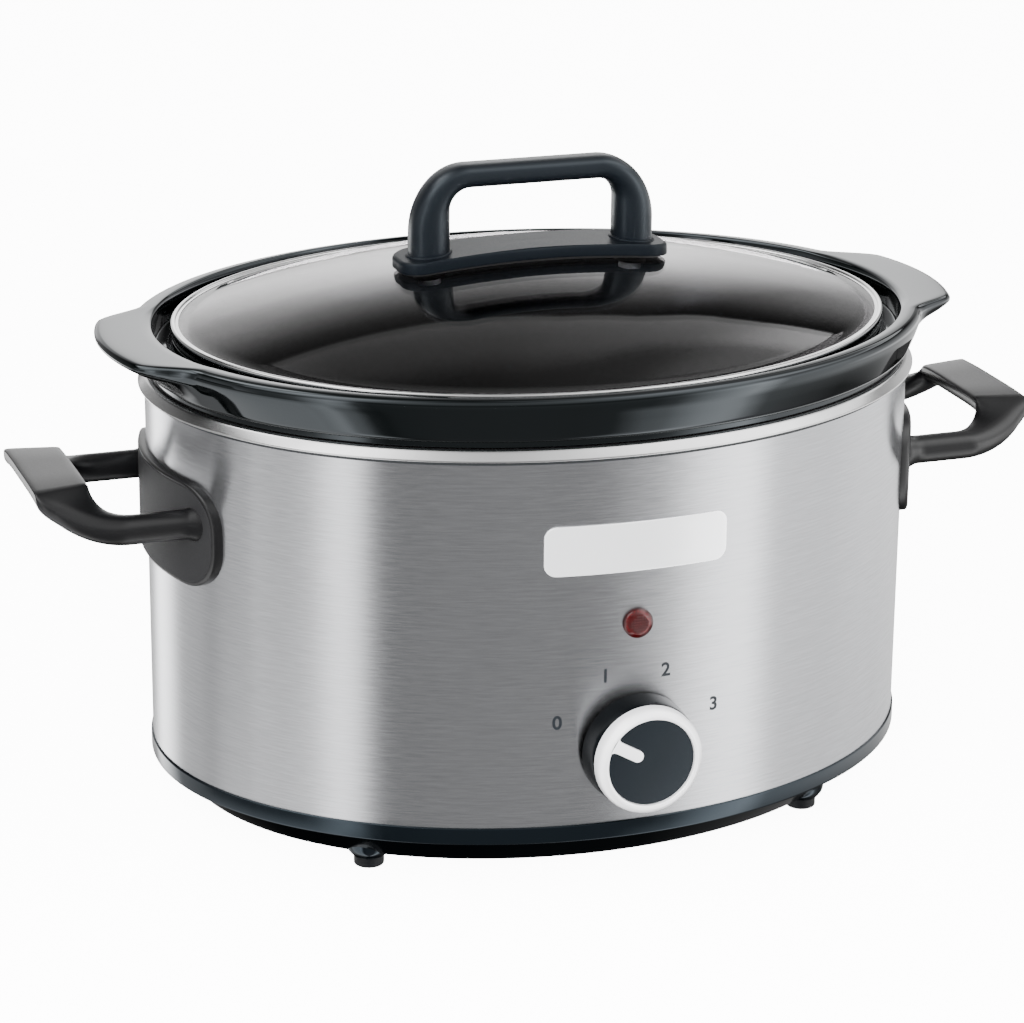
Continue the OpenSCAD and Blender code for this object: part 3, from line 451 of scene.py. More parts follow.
def wall_x(y, out=0.0):
    """X of the right side of the housing at y, that far outside the wall."""
    s = sizes()
    return (s.wall_a + out) * math.sqrt(max(0, 1 - ((y - MID_Y) / (s.wall_b + out)) ** 2))


def rounded_outline(w, h, r, steps=10, power=2.0, gap=3.0):
    """Outline of a rounded rectangle about the origin, with points no further apart than gap."""
    points = []
    for cx, cy, start in ((1, 1, 0), (-1, 1, 90), (-1, -1, 180), (1, -1, 270)):
        for k in range(steps + 1):
            t = math.radians(start + 90 * k / steps)
            c, q = math.cos(t), math.sin(t)
            c, q = [math.copysign(abs(v) ** (2 / power), v) for v in (c, q)]
            points.append((cx * (w / 2 - r) + r * c, cy * (h / 2 - r) + r * q))
    full = []
    for i, p in enumerate(points):
        q = points[(i + 1) % len(points)]
        n = max(1, math.ceil(math.hypot(q[0] - p[0], q[1] - p[1]) / gap))
        full += [(p[0] + (q[0] - p[0]) * k / n, p[1] + (q[1] - p[1]) * k / n) for k in range(n)]
    return full


def slab(outline, place, low, high, edge, fills, low_edge=0.0):
    """A plate over an outline. place maps a point and its height to the object, low and high give the
    faces' heights, edge is the upper edge's radius, and fills counts the rings of each face."""
    cx = sum(p[0] for p in outline) / len(outline)
    cy = sum(p[1] for p in outline) / len(outline)
    size = min(max(abs(p[0] - cx) for p in outline), max(abs(p[1] - cy) for p in outline))
    rows = []

    def row(inward, height, drop):
        points = []
        for p in outline:
            far = math.hypot(p[0] - cx, p[1] - cy)
            k = max(0.0, 1 - inward / size)
            q = (cx + (p[0] - cx) * k, cy + (p[1] - cy) * k)
            if inward < size * 0.3:
                q = (p[0] - (p[0] - cx) / far * inward, p[1] - (p[1] - cy) / far * inward)
            points.append(place(q[0], q[1], height(*q) - drop))
        rows.append(points)

    for k in range(fills - 1, 0, -1):
        row(size * k / fills, low, 0)
    if low_edge:
        for k in range(LOW_EDGE_STEPS + 1):
            t = math.pi / 2 * k / LOW_EDGE_STEPS
            row(low_edge * (1 - math.sin(t)), low, -low_edge * (1 - math.cos(t)))
    else:
        row(0, low, 0)
    for k in range(EDGE_STEPS + 1):
        t = math.pi / 2 * k / EDGE_STEPS
        row(edge * (1 - math.cos(t)), high, edge * (1 - math.sin(t)))
    for k in range(1, fills):
        row(size * k / fills, high, 0)
    return skin(rows)


def prism(outline, place, low, high, edge):
    """A plate over an outline that may be hollow, with flat ends and a rounded upper edge."""
    n = len(outline)
    normals = []
    for i in range(n):
        (ax, ay), (bx, by) = outline[i - 1], outline[(i + 1) % n]
        far = math.hypot(bx - ax, by - ay)
        normals.append(((by - ay) / far, (ax - bx) / far))
    area = sum(outline[i - 1][0] * p[1] - p[0] * outline[i - 1][1] for i, p in enumerate(outline))
    turn = math.copysign(1, area)
    rows = [[place(x, y, low) for x, y in outline]]
    for k in range(EDGE_STEPS + 1):
        t = math.pi / 2 * k / EDGE_STEPS
        inward, drop = edge * (1 - math.cos(t)), edge * (1 - math.sin(t))
        rows.append([place(x - turn * u * inward, y - turn * v * inward, high - drop)
                     for (x, y), (u, v) in zip(outline, normals)])
    points = [p for row in rows for p in row]
    return points, sides(rows) + [tuple(range(n)), tuple(range(len(points) - n, len(points)))]


def turned(profile, place, steps=96, closed=False):
    """Turns a profile of (radius, distance) about an axis. place maps the two numbers across the axis
    and the one along it to the object."""
    rows = []
    for r, d in profile:
        angles = [2 * math.pi * i / steps for i in range(steps)]
        rows.append([place(r * math.cos(t), r * math.sin(t), d) for t in angles])
    return skin(rows, closed)


def soft_profile(corners, steps=4):
    """Rounds a flat profile of (x, y, radius) corners."""
    return [(p[0], p[2]) for p in rounded([(x, 0.0, y, r) for x, y, r in corners], steps)]


def squared(w, h, top_power, low_power):
    """Closed section that is squarer than an ellipse by its two powers."""
    points = []
    for i in range(SECTION_STEPS):
        t = 2 * math.pi * i / SECTION_STEPS
        c, q = math.cos(t), math.sin(t)
        power = 2 / (top_power if q > 0 else low_power)
        points.append((w * math.copysign(abs(c) ** power, c), h * math.copysign(abs(q) ** power, q)))
    return points


def mixed(a, b, share):
    """Points on the way from each point of a to its fellow in b."""
    return [tuple(u * (1 - share) + v * share for u, v in zip(p, q)) for p, q in zip(a, b)]


def between(inner, outer, share):
    """The place between two points, from -1 at the inner to 1 at the outer."""
    return [(p + q) / 2 + (q - p) / 2 * share for p, q in zip(inner, outer)]


def oval_uv(corners):
    """Level distance round the oval and height, in metres, without a jump inside a face."""
    s = sizes()
    angles = [math.atan2((co[1] - MID_Y) / s.wall_b, co[0] / s.wall_a) for co in corners]
    if max(angles) - min(angles) > math.pi:
        angles = [t + 2 * math.pi if t < 0 else t for t in angles]
    return [(t * (s.wall_a + s.wall_b) / 2 * MM, co[2] * MM) for t, co in zip(angles, corners)]


# ---- Geometry Nodes ----

def node_group(name, inputs, build):
    """A geometry tree with named inputs. build adds its nodes and returns the one whose geometry is
    realised and painted."""
    tree = bpy.data.node_groups.new(name, "GeometryNodeTree")
    for label, kind, value in inputs:
        socket = tree.interface.new_socket(name=label, in_out="INPUT", socket_type="NodeSocket" + kind)
        if value is not None:
            socket.default_value = value
    tree.interface.new_socket(name="Geometry", in_out="OUTPUT", socket_type="NodeSocketGeometry")
    given = tree.nodes.new("NodeGroupInput").outputs
    real = add(tree, "GeometryNodeRealizeInstances", {"Geometry": build(tree, given)})
    painted = add(tree, "GeometryNodeSetMaterial", {"Geometry": real, "Material": given["Material"]})
    add(tree, "NodeGroupOutput", (painted,))
    return tree


def grown(name, tree, values):
    """Runs a geometry tree on an empty mesh and returns its result as a plain closed mesh object."""
    maker = bpy.data.objects.new(name + "_maker", bpy.data.meshes.new(name + "_maker"))
    bpy.context.scene.collection.objects.link(maker)
    modifier = maker.modifiers.new("grow", "NODES")
    modifier.node_group = tree
    for item in tree.interface.items_tree:
        if item.item_type == "SOCKET" and item.in_out == "INPUT" and item.name in values:
            modifier[item.identifier] = values[item.name]
    return cleaned(plain(name, maker))


def plain(name, maker):
    """The evaluated shape of an object as a plain mesh object, in place of the object."""
    mesh = bpy.data.meshes.new_from_object(maker.evaluated_get(bpy.context.evaluated_depsgraph_get()))
    bpy.data.objects.remove(maker)
    mesh.name = name
    return bpy.data.objects.new(name, mesh)


def cleaned(obj):
    """Merges doubles and turns faces outwards."""
    shape = bmesh.new()
    shape.from_mesh(obj.data)
    bmesh.ops.remove_doubles(shape, verts=shape.verts, dist=1e-7)
    bmesh.ops.recalc_face_normals(shape, faces=shape.faces)
    shape.to_mesh(obj.data)
    shape.free()
    return obj


def oval_sweep(tree, given):
    """A closed profile swept round an oval: the rolled rim, the dark strip of painted shade under it
    and the lid's rim.
    """
    circle = add(tree, "GeometryNodeCurvePrimitiveCircle", {
        "Resolution": given["Steps"], "Radius": 1.0})
    size = add(tree, "ShaderNodeCombineXYZ", (given["Half length"], given["Half depth"], 1.0))
    shift = add(tree, "ShaderNodeCombineXYZ", (0.0, given["Middle"], given["Height"]))
    oval = add(tree, "GeometryNodeTransform", {"Geometry": circle, "Scale": size, "Translation": shift})
    upright = add(tree, "GeometryNodeSetCurveNormal", {"Curve": oval}, mode="Z_UP")
    profile = add(tree, "GeometryNodeObjectInfo", {"Object": given["Profile"]})
    return add(tree, "GeometryNodeCurveToMesh", {
        "Curve": upright, "Profile Curve": profile.outputs["Geometry"]})


def grid_of_copies(tree, given):
    """Copies of a shape on a grid of places, kept within a radius."""
    grid = add(tree, "GeometryNodeMeshGrid", {
        label: given[label] for label in ("Size X", "Size Y", "Vertices X", "Vertices Y")})
    point = add(tree, "GeometryNodeInputPosition")
    far = add(tree, "ShaderNodeVectorMath", (point,), operation="LENGTH")
    kept = add(tree, "FunctionNodeCompare", {0: far.outputs["Value"], 1: given["Radius"]},
               data_type="FLOAT", operation="LESS_EQUAL")
    shape = add(tree, "GeometryNodeObjectInfo", {"Object": given["Shape"]})
    return add(tree, "GeometryNodeInstanceOnPoints", {
        "Points": grid, "Selection": kept, "Instance": shape.outputs["Geometry"]})


def scattered(name, profile, steps, grid, place, material, replaces):
    """A turned shape set on a grid, with each point then moved to its place, in metres."""
    points, faces = turned(profile, lambda u, v, d: (u, v, d), steps)
    mesh = bpy.data.meshes.new(name + "_shape")
    mesh.from_pydata([[c * MM for c in p] for p in points], [], faces)
    shape = bpy.data.objects.new(name + "_shape", mesh)
    bpy.context.scene.collection.objects.link(shape)
    tree = node_group("grid_of_copies", [
        ("Size X", "Float", 0.1), ("Size Y", "Float", 0.1), ("Vertices X", "Int", 2),
        ("Vertices Y", "Int", 2), ("Radius", "Float", 1.0), ("Shape", "Object", None),
        ("Material", "Material", None)], grid_of_copies)
    obj = grown(name, tree, {**grid, "Shape": shape, "Material": material})
    bpy.data.objects.remove(shape)
    for vert in obj.data.vertices:
        vert.co = place(*vert.co)
    return dress(obj, material, "base", replaces)


def profile_curve(name, points):
    """A closed flat curve from (out, up) points in millimetres, for a sweep."""
    curve = bpy.data.curves.new(name, "CURVE")
    curve.dimensions = "3D"
    line = curve.splines.new("POLY")
    line.points.add(len(points) - 1)
    for point, (u, v) in zip(line.points, points):
        point.co = (u * MM, -v * MM, 0, 1)
    line.use_cyclic_u = True
    obj = bpy.data.objects.new(name, curve)
    bpy.context.scene.collection.objects.link(obj)
    return obj


def swept_oval(name, a, b, z, profile, material, body, replaces):
    """One oval piece with the given profile about the line at half sizes a and b and height z."""
    line = profile_curve(name + "_profile", profile)
    tree = node_group("oval_sweep", [
        ("Half length", "Float", 0.1), ("Half depth", "Float", 0.1), ("Middle", "Float", 0.0),
        ("Height", "Float", 0.0), ("Steps", "Int", AROUND), ("Profile", "Object", None),
        ("Material", "Material", None)], oval_sweep)
    obj = grown(name, tree, {"Half length": a * MM, "Half depth": b * MM, "Middle": MID_Y * MM,
                             "Height": z * MM, "Profile": line, "Material": material})
    bpy.data.objects.remove(line)
    return dress(obj, material, body, replaces)


def undoable(cls):
    """Gives an operator class the flags that all of them share."""
    cls.bl_options = {"REGISTER", "UNDO"}
    return cls


# ---- Housing ----

@undoable
class COOKER_OT_housing(bpy.types.Operator):
    """Makes the brushed steel wall."""
    bl_idname = "cooker.housing"
    bl_label = "Steel housing"

    def execute(self, context):
        s = sizes()
        low, top = s.wall_low, s.wall_top
        corners = ((STEEL_GAUGE, low), (0, low), (0, top), (STEEL_GAUGE, top))
        rows = oval_rings([inset(*corner)[:-1] for corner in corners])
        levels = 5
        outer = [[tuple(Vector(p) * (1 - k / levels) + Vector(q) * (k / levels))
                  for p, q in zip(rows[1], rows[2])] for k in range(levels + 1)]
        piece("housing_wall", [skin([rows[0], *outer, rows[3]], closed=True)], brushed_stainless(),
              "base", ["housing_wrap"], uv=oval_uv)
        return {"FINISHED"}


@undoable
class COOKER_OT_well(bpy.types.Operator):
    """Makes the heating well, its rolled rim and a dark strip under the rim that paints the rim's
    shadow line.
    """
    bl_idname = "cooker.well"
    bl_label = "Heating well"

    def execute(self, context):
        s = sizes()
        h, out, shelf = s.bead_h, s.bead_out, s.wall_top + 2.4
        top = s.wall_top + h
        floor = s.wall_low + 44.5
        a, b = 0.1 * s.wall_a, 0.1 * s.wall_b
        liner = rounded([
            ring(a, b, floor - 1), inset(20, floor - 1, 14), inset(8.4, shelf, 0.5), inset(1.2, shelf),
            inset(1.2, top - 0.05), inset(8.9, top - 0.05, 1.6), inset(21, floor, 13),
            ring(a, b, floor)], 9)
        piece("heating_well_liner", [skin(oval_rings(liner))], finish("aluminised_steel_pressing"),
              "base", ["heating_well"])
        bead = soft_profile([
            (-1.4, 0, 0), (0.5, 0, 0), (0.5, 0.3, 0), (out - 0.3, 0.2, 0.4), (out, 0.8, 0.6),
            (-0.2, h - 0.1, 0.9), (-1.4, h, 0.4)], 7)
        swept_oval("rolled_rim", s.wall_a, s.wall_b, s.wall_top, bead, finish("satin_rolled_steel_rim"),
                   "base", ())
        # a dark strip just under the rolled rim: painted shade for the shadow line between the rim and
        # the wall
        shade_line_profile = soft_profile([(-0.05, -1.3, 0), (0.16, -1.3, 0.1), (0.16, 0.02, 0), (-0.05, 0.02, 0)], 3)
        swept_oval("rim_seal", s.wall_a, s.wall_b, s.wall_top, shade_line_profile, finish("black_silicone_rim_seal"),
                   "base", ())
        return {"FINISHED"}


@undoable
class COOKER_OT_pan(bpy.types.Operator):
    """Makes the black base pan with the cone bosses of its feet."""
    bl_idname = "cooker.pan"
    bl_label = "Base pan"

    def execute(self, context):
        s = sizes()
        low, top = s.wall_low - s.pan_h, s.wall_low
        pan = rounded([
            ring(12, 9, low), inset(16, low, 4), inset(2.4, top - 7.0, 1.2), inset(0.2, top - 6.5, 0.3),
            inset(-0.7, top - 6.3, 0.7), inset(-0.7, top, 0.6), inset(1.2, top, 0.1),
            inset(1.2, top + 4, 0.3), inset(3.2, top + 4, 0.3), inset(3.2, top - 5, 1),
            inset(17, low + 2, 3), ring(12, 9, low + 2)], 6)
        boss = soft_profile([
            (3, -1.1, 0), (s.foot_d / 2 + 0.5, -1.1, 0.3), (8.4, 1.6, 1.5), (9.2, 9, 0)])
        parts = [skin(oval_rings(pan))]
        for x in (-s.foot_x, s.foot_x):
            for y in (-s.foot_y, s.foot_y):
                parts.append(turned(boss, lambda u, v, d: (x + u, MID_Y + y + v, low + d), 48))
        piece("base_pan_moulding", parts, finish("gloss_black_moulding"), "base", ["base_pan"])
        return {"FINISHED"}


@undoable
class COOKER_OT_feet(bpy.types.Operator):
    """Sets the four rubber feet under the pan."""
    bl_idname = "cooker.feet"
    bl_label = "Feet"

    def execute(self, context):
        s = sizes()
        r = s.foot_d / 2
        shape = soft_profile([
            (0.3, 0, 0), (r - 1.4, 0, 0.4), (r - 1.4, 0.35, 0), (r, 0.5, 0.8), (r, 4.6, 0.2),
            (2.5, 4.6, 0), (2.5, 13, 0), (0.3, 13, 0)])
        scattered("rubber_feet", shape, 40, {"Size X": 2 * s.foot_x * MM, "Size Y": 2 * s.foot_y * MM},
                  lambda x, y, z: (x, y + MID_Y * MM, z), finish("moulded_black_rubber"),
                  ["foot_front_left", "foot_front_right", "foot_rear_left", "foot_rear_right"])
        return {"FINISHED"}


# ---- Crock and lid ----

@undoable
class COOKER_OT_crock(bpy.types.Operator):
    """Makes the glazed stoneware crock with its flange, lugs, skirt and the channel round the lid."""
    bl_idname = "cooker.crock"
    bl_label = "Crock"

    def execute(self, context):
        s = sizes()
        seat = s.wall_top + s.bead_h + 0.3
        skirt = seat + 2.3
        top = s.flange_top
        ledge = top - 5.3
        floor = s.wall_low + 47
        a, b = s.flange_a, s.flange_b
        lid_a, lid_b = s.rim_a, s.rim_b
        channel_a, channel_b = lid_a + 6.4, lid_b + 3.2
        h = top - skirt
        crock = rounded([
            ring(12, 9, floor), inset(23.5, floor, 15), inset(11.5, seat, 0.6), inset(2, seat, 0.4),
            ring(s.wall_a - 2, s.wall_b - 2, skirt, 0, 1, 0.4),
            ring(a - 5.6, b - 2.0, skirt, 0, 1, 0.9),
            ring(a - 4.5, b - 1.2, skirt + 1.4, 0, 0.9, 0.8),
            ring(a - 2.9, b - 0.7, skirt + 0.3 * h, 0.03, 0.45, 2.5),
            ring(a - 1.3, b - 0.3, skirt + 0.52 * h, 0.25, 0.08, 2.5),
            ring(a - 0.4, b, skirt + 0.68 * h, 0.75, 0, 2.0), ring(a, b, top - 2.4, 1, 0, 1.8),
            ring(a - 1.2, b - 1.2, top - 0.3, 1, 0, 1.8), ring(a - 4, b - 4, top, 1, 0, 1.5),
            ring(channel_a + 0.8, channel_b + 0.6, top - 0.1, 0, 0, 1.1),
            ring(channel_a, channel_b, top - 2.6, 0, 0, 0.9),
            ring(channel_a - 0.5, channel_b - 0.35, ledge - 3.8, 0, 0, 0.9),
            ring(lid_a + 0.7, lid_b + 0.6, ledge - 4.0, 0, 0, 0.8),
            ring(lid_a - 0.5, lid_b - 0.5, ledge, 0, 0, 0.4), inset(17.3, ledge, 1.2),
            inset(30.5, floor + 8, 15), ring(12, 9, floor + 8)], 6)
        piece("stoneware_crock", [skin(oval_rings(crock, CROCK_AROUND))],
              finish("black_glazed_stoneware"), "crock", ["crock"])
        return {"FINISHED"}


@undoable
class COOKER_OT_lid(bpy.types.Operator):
    """Makes the glass dome and the steel rim clamped round it."""
    bl_idname = "cooker.lid"
    bl_label = "Lid glass and rim"

    def execute(self, context):
        s = sizes()
        low, thick, land = s.rim_low + 0.85, 2.9, 1.7
        rise = APEX - low - thick
        a, b = s.rim_a - 1.6, s.rim_b - 1.6
        under, over = [[ring((a - land) * t, (b - land) * t, z + rise * (1 - t * t))
                        for t in [k / 24 for k in range(1, 25)]] for z in (low, low + thick)]
        edge = [ring(a, b, low, 0, 0, 0.8), ring(a, b, low + thick, 0, 0, 0.8)]
        dome = rounded(under + edge + over[::-1], 4)
        piece("lid_dome", [skin(oval_rings(dome))], finish("smoked_tempered_glass"), "lid",
              ["lid_glass"])
        rim = soft_profile([
            (-3.3, 0.2, 0.3), (-2.2, 0, 0.4), (-0.4, 0, 1.2), (0, 2.0, 1.5), (-0.3, 4.6, 1.3),
            (-1.9, 4.5, 0.8), (-2.3, 3.95, 0.3), (-3.3, 4.0, 0.3), (-3.3, 3.75, 0), (-1.5, 3.75, 0),
            (-1.5, 0.8, 0), (-3.3, 0.8, 0)], 5)
        swept_oval("lid_rim_band", s.rim_a, s.rim_b, s.rim_low, rim, finish("polished_lid_rim_steel"),
                   "lid", ["lid_rim"])
        return {"FINISHED"}


@undoable
class COOKER_OT_lid_handle(bpy.types.Operator):
    """Makes the bow handle, its foot plate and the gasket under it."""
    bl_idname = "cooker.lid_handle"
    bl_label = "Lid handle"

    def execute(self, context):
        s = sizes()
        dome_a = s.rim_a - 3.3
        dome = APEX - (s.rim_low + 3.75)

        def over_glass(gap):
            """Height that far over the glass at a place."""
            return lambda x, y: APEX - dome * (x / dome_a) ** 2 + gap

        def straight(x, y, h):
            return (x, MID_Y + y, h)

        plate_top = over_glass(PLATE_RISE)
        plate = slab(rounded_outline(106.6, 25, 9), straight, over_glass(1.3), plate_top, 1.3, 8, 0.6)
        gasket = slab(rounded_outline(101, 20, 7), straight, over_glass(0.05), over_glass(1.25), 0.2, 5)
        collar = soft_profile([
            (0.3, -1.5, 0), (9.0, -1.5, 0), (9.0, 0.35, 0.5), (7.5, 0.9, 0.3), (0.3, 0.9, 0)])
        collars = [turned(collar, lambda u, v, d: (
            leg_x + u * 0.99, MID_Y + v * 0.97, plate_top(leg_x + u, 0) + d), 56)
            for leg_x in (-s.bow_half, s.bow_half)]
        # half of the bow: up a leg, round the corner and along the bar, between two edges
        leg_steps, bend_steps, bar_steps = 8, 40, 10
        bar_start = leg_steps + bend_steps
        leg, bar = 7.7, 8.9
        outer_bend, inner_bend = 26, 7.5
        root = plate_top(s.bow_half + leg, 0) - 0.4
        outer_top, inner_top = s.bow_top, s.bow_top - bar
        rows = []
        for k in range(bar_start + bar_steps):
            share = ramp(0, 1, (k - leg_steps) / bend_steps)
            t = math.pi / 2 * share
            over, back = 1 - math.sin(t), 1 - math.cos(t)
            outer = (s.bow_half + leg - 22 * back, outer_top - outer_bend * over)
            inner = (s.bow_half - leg - inner_bend * back, inner_top - inner_bend * over)
            if k < leg_steps:
                outer = (outer[0], root + (outer_top - outer_bend - root) * k / leg_steps)
                inner = (inner[0], root + (inner_top - inner_bend - root) * k / leg_steps)
            if k >= bar_start:
                far = 1 - (k - bar_start) / bar_steps
                outer, inner = (outer[0] * far, outer[1]), (inner[0] * far, inner[1])
            power = 2.3 + 0.5 * share
            rows.append([])
            for u, v in squared(leg - 0.7 * share, 1, power, power):
                x, z = between(inner, outer, v)
                rows[-1].append((x, MID_Y + u, z))
        middle = [(0, y, z) for x, y, z in rows[-1]]
        bow = skin(rows + [middle] + [[(-x, y, z) for x, y, z in row] for row in reversed(rows)])
        piece("lid_bow_handle", [bow], finish("slate_phenolic_moulding"), "lid", ["lid_handle"])
        piece("lid_foot_plate", [plate] + collars, finish("slate_spark_textured_plate"), "lid",
              ["lid_handle_plate"])
        piece("lid_gasket", [gasket], finish("black_silicone_gasket"), "lid", ["lid_handle_gasket"])
        return {"FINISHED"}


# ---- Side handles ----

@undoable
class COOKER_OT_side_handles(bpy.types.Operator):
    """Makes the two side handles with their mounting plates."""
    bl_idname = "cooker.side_handles"
    bl_label = "Side handles"

    def execute(self, context):
        s = sizes()
        charcoal = finish("charcoal_moulded_phenolic")
        matt = finish("charcoal_spark_textured_moulding")
        low, high = s.wall_low + 77.5, s.wall_low + 117
        rod_y, rod_z = 37.5, s.wall_low + 102.3
        grip_wide, grip_thick, grip_half = 20.6, 8.4, 28
        grip_z = rod_z + 14.6 - grip_thick / 2
        bend_outer, bend_inner = 170, 161
        run_steps, bend_steps, grip_steps, rise_steps = 16, 36, 8, 41
        last = run_steps + bend_steps + grip_steps
        quarter_squared = 2.467
        r = s.rod_d / 2
        root = wall_x(MID_Y + rod_y + r) + 1

        def face(out):
            """Distance that far out from the wall, and a little more at the plate's ends."""
            return lambda y, z: wall_x(MID_Y + y) + out + 0.6 * (y / 49.4) ** 2

        for side, name in ((-1, "left"), (1, "right")):
            def upright(y, z, h):
                return (side * h, MID_Y + y, z + (low + high) / 2)

            plate = slab(rounded_outline(98.8, high - low, 17, 12, 2.2), upright,
                         lambda y, z: wall_x(MID_Y + y, 0.05), face(2.8), 1.1, 9)
            cover = slab(rounded_outline(96.4, high - low - 2.4, 15.8, 12, 2.2), upright,
                         face(2.4), face(2.96), 0.12, 9)
            piece("mount_face_" + name, [cover], matt, "base", ())
            rows = []
            for k in range(last + 1):
                # the rod runs out, turns along the grip, and lies between an outer and an inner edge
                share = min(1, max(0, (k - run_steps) / bend_steps))
                turn = math.pi / 2 * share
                along, aside = mixed([(math.sin(turn), math.cos(turn))], [(share, 1 - share)],
                                     0.38 * (1 - ramp(0.65, 1, share)))[0]
                outer = (bend_outer + (s.grip_reach - bend_outer) * along,
                         -grip_half - (rod_y + r - grip_half) * aside)
                inner = (bend_inner + (s.grip_reach - grip_wide - bend_inner) * math.sin(turn),
                         -grip_half + 4 - (rod_y - r - grip_half + 4) * math.cos(turn))
                flare = 0.0
                if k < run_steps:
                    outer = (root + (outer[0] - root) * k / run_steps, outer[1])
                    inner = (root + (inner[0] - root) * k / run_steps, inner[1])
                    flare = 1.5 * (1 - ramp(root + 2.2, root + 7.5, outer[0]))
                if k > last - grip_steps:
                    outer, inner = [(q[0], q[1] * (last - k) / grip_steps) for q in (outer, inner)]
                rise = min(1, max(0, (k - run_steps) / rise_steps))
                up = (1 - rise) * (1 - math.cos(math.pi / 2 * rise)) + rise * ramp(0, 1, rise)
                middle = rod_z + (grip_z - rod_z) * up
                deep = r + flare + (grip_thick / 2 - r) * up
                wide = 1 + flare / r
                # the grip is flat above and bellied below, and widest just under its upper face
                belly = [(u * wide, deep * (0.48 + (0.52 if v > 0 else 1.48) * v))
                         for u, v in squared(1, 1, 8, 2.3)]
                rows.append([])
                for u, v in mixed(squared(wide, deep, 2, 2), belly, turn ** 2 / quarter_squared):
                    x, y = between(inner, outer, u)
                    rows[-1].append((side * x, MID_Y + y, middle + v))
            rows += [[(x, 2 * MID_Y - y, z) for x, y, z in row] for row in reversed(rows[:-1])]
            piece("side_handle_" + name, [plate, skin(rows)], charcoal, "base", ["handle_" + name])
        return {"FINISHED"}


# ---- Front ----

@undoable
class COOKER_OT_knob(bpy.types.Operator):
    """Makes the knob: black skirt, slate disc, silver ring and pointer."""
    bl_idname = "cooker.knob"
    bl_label = "Knob"

    def execute(self, context):
        s = sizes()
        front = FRONT_Y - KNOB_GAP - KNOB_DEPTH
        r = s.knob_d / 2
        out = (RING_HI[0] - RING_LO[0]) / 2
        turn = math.radians(POINTER_REST)

        def axis(u, v, d):
            return (u, front + d, s.knob_z + v)

        def pointer(u, v, h):
            return (u * math.cos(turn) - v * math.sin(turn), front - h,
                    s.knob_z + v * math.cos(turn) + u * math.sin(turn))

        skirt = soft_profile([
            (3.1, 4.2, 0), (16, 2.2, 0.2), (17.4, 2.2, 0.4), (17.4, 4.6, 0), (r - 0.5, 4.6, 0.6),
            (r, 6, 1.5), (r + 0.6, 15, 0.6), (r - 2.5, 15, 0.4), (r - 2.5, 5.8, 0), (6, 5.8, 0),
            (6, 11, 0.4), (3.1, 11, 0)])
        piece("knob_skirt", [turned(skirt, axis, closed=True)], finish("gloss_black_knob_moulding"),
              "knob", ["knob_body"])
        disc = soft_profile([(0.3, 2.0, 0), (16.3, 2.0, 0), (16.3, 0.05, 0.3), (0.3, 0.35, 0)])
        piece("knob_disc_insert", [turned(disc, axis)], finish("slate_knob_disc_moulding"), "knob",
              ["knob_disc"])
        band = soft_profile([
            (16.45, 4.5, 0), (16.45, -0.9, 0.5), (17.1, -1.25, 0.4), (out - 2.2, -1.2, 1.2),
            (out - 0.4, 0.3, 0.9), (out, 2.0, 0.9), (out, 4.5, 0.2)], 5)
        # the pointer is a bar with a round tip near the middle, flared where it meets the ring
        tip_v, ring_v, half_w, flare = 4.2, 17.0, 2.2, 2.6
        bend = [math.pi / 2 * k / 8 for k in range(9)]
        side = [(half_w + flare * (1 - math.sin(t)), ring_v - flare * (1 - math.cos(t))) for t in bend]
        tip = [(half_w * math.cos(t), tip_v + half_w * (1 - math.sin(t)))
               for t in [math.pi * k / 14 for k in range(15)]]
        arm = prism(side + tip + [(-u, v) for u, v in reversed(side)], pointer, -0.6, 1.18, 0.3)
        silver = finish("satin_silver_lacquer_on_moulding")
        piece("knob_silver_ring", [turned(band, axis, closed=True), arm], silver, "knob",
              ["knob_ring"])
        return {"FINISHED"}


@undoable
class COOKER_OT_dial_marks(bpy.types.Operator):
    """Prints the plain numbers 0 to 3 round the knob."""
    bl_idname = "cooker.dial_marks"
    bl_label = "Dial numbers"

    def execute(self, context):
        s = sizes()
        ink = finish("slate_screen_print_ink")
        for digit, (x, up) in enumerate(NUMERAL_PLACES):
            text = bpy.data.curves.new("numeral", "FONT")
            text.body = str(digit)
            text.size = s.numeral * MM / FIGURE_SHARE
            text.align_x = "CENTER"
            text.align_y = "CENTER"
            text.extrude = 0.03 * MM
            text.offset = 0.16 * MM
            text.resolution_u = 10
            maker = bpy.data.objects.new("numeral", text)
            bpy.context.scene.collection.objects.link(maker)
            obj = plain(f"dial_number_{digit}", maker)
            for vert in obj.data.vertices:
                u, v, w = [q / MM for q in vert.co]
                vert.co = ((x + u) * MM, (wall_y(x + u) - 0.04 - w) * MM, (s.knob_z + up + v) * MM)
            dress(cleaned(obj), ink, "base", ())
        return {"FINISHED"}


@undoable
class COOKER_OT_lamp(bpy.types.Operator):
    """Makes the red lamp lens with its studded face."""
    bl_idname = "cooker.lamp"
    bl_label = "Lamp lens"

    def execute(self, context):
        red = finish("clear_red_polycarbonate")
        lo, hi = node_box("lamp_lens")
        z = (lo[2] + hi[2]) / 2
        r = (hi[0] - lo[0]) / 2 + 0.3
        face = 2.55
        lens = soft_profile([
            (3.2, -9, 0), (4.4, -9, 0.2), (4.4, 0.1, 0), (r, 0.1, 0.1), (r, 1.3, 0.5), (3.6, face, 0.5),
            (0.3, 2.6, 0), (0.3, 1.4, 0), (3.2, 1.4, 0)])
        stud = soft_profile([(0.02, 0.28, 0), (0.2, 0.2, 0.05), (0.42, 0, 0), (0.02, -0.2, 0)], 2)
        scattered("lamp_lens_studs", stud, 8, {
            "Size X": 8 * MM, "Size Y": 8 * MM, "Vertices X": 9, "Vertices Y": 9, "Radius": 3.3 * MM},
            lambda u, v, w: (u, (FRONT_Y - face) * MM - w, z * MM + v), red, ())
        body = turned(lens, lambda u, v, d: (u, FRONT_Y - d, z + v), 64)
        piece("lamp_lens_cap", [body], red, "base", ["lamp_lens"])
        return {"FINISHED"}


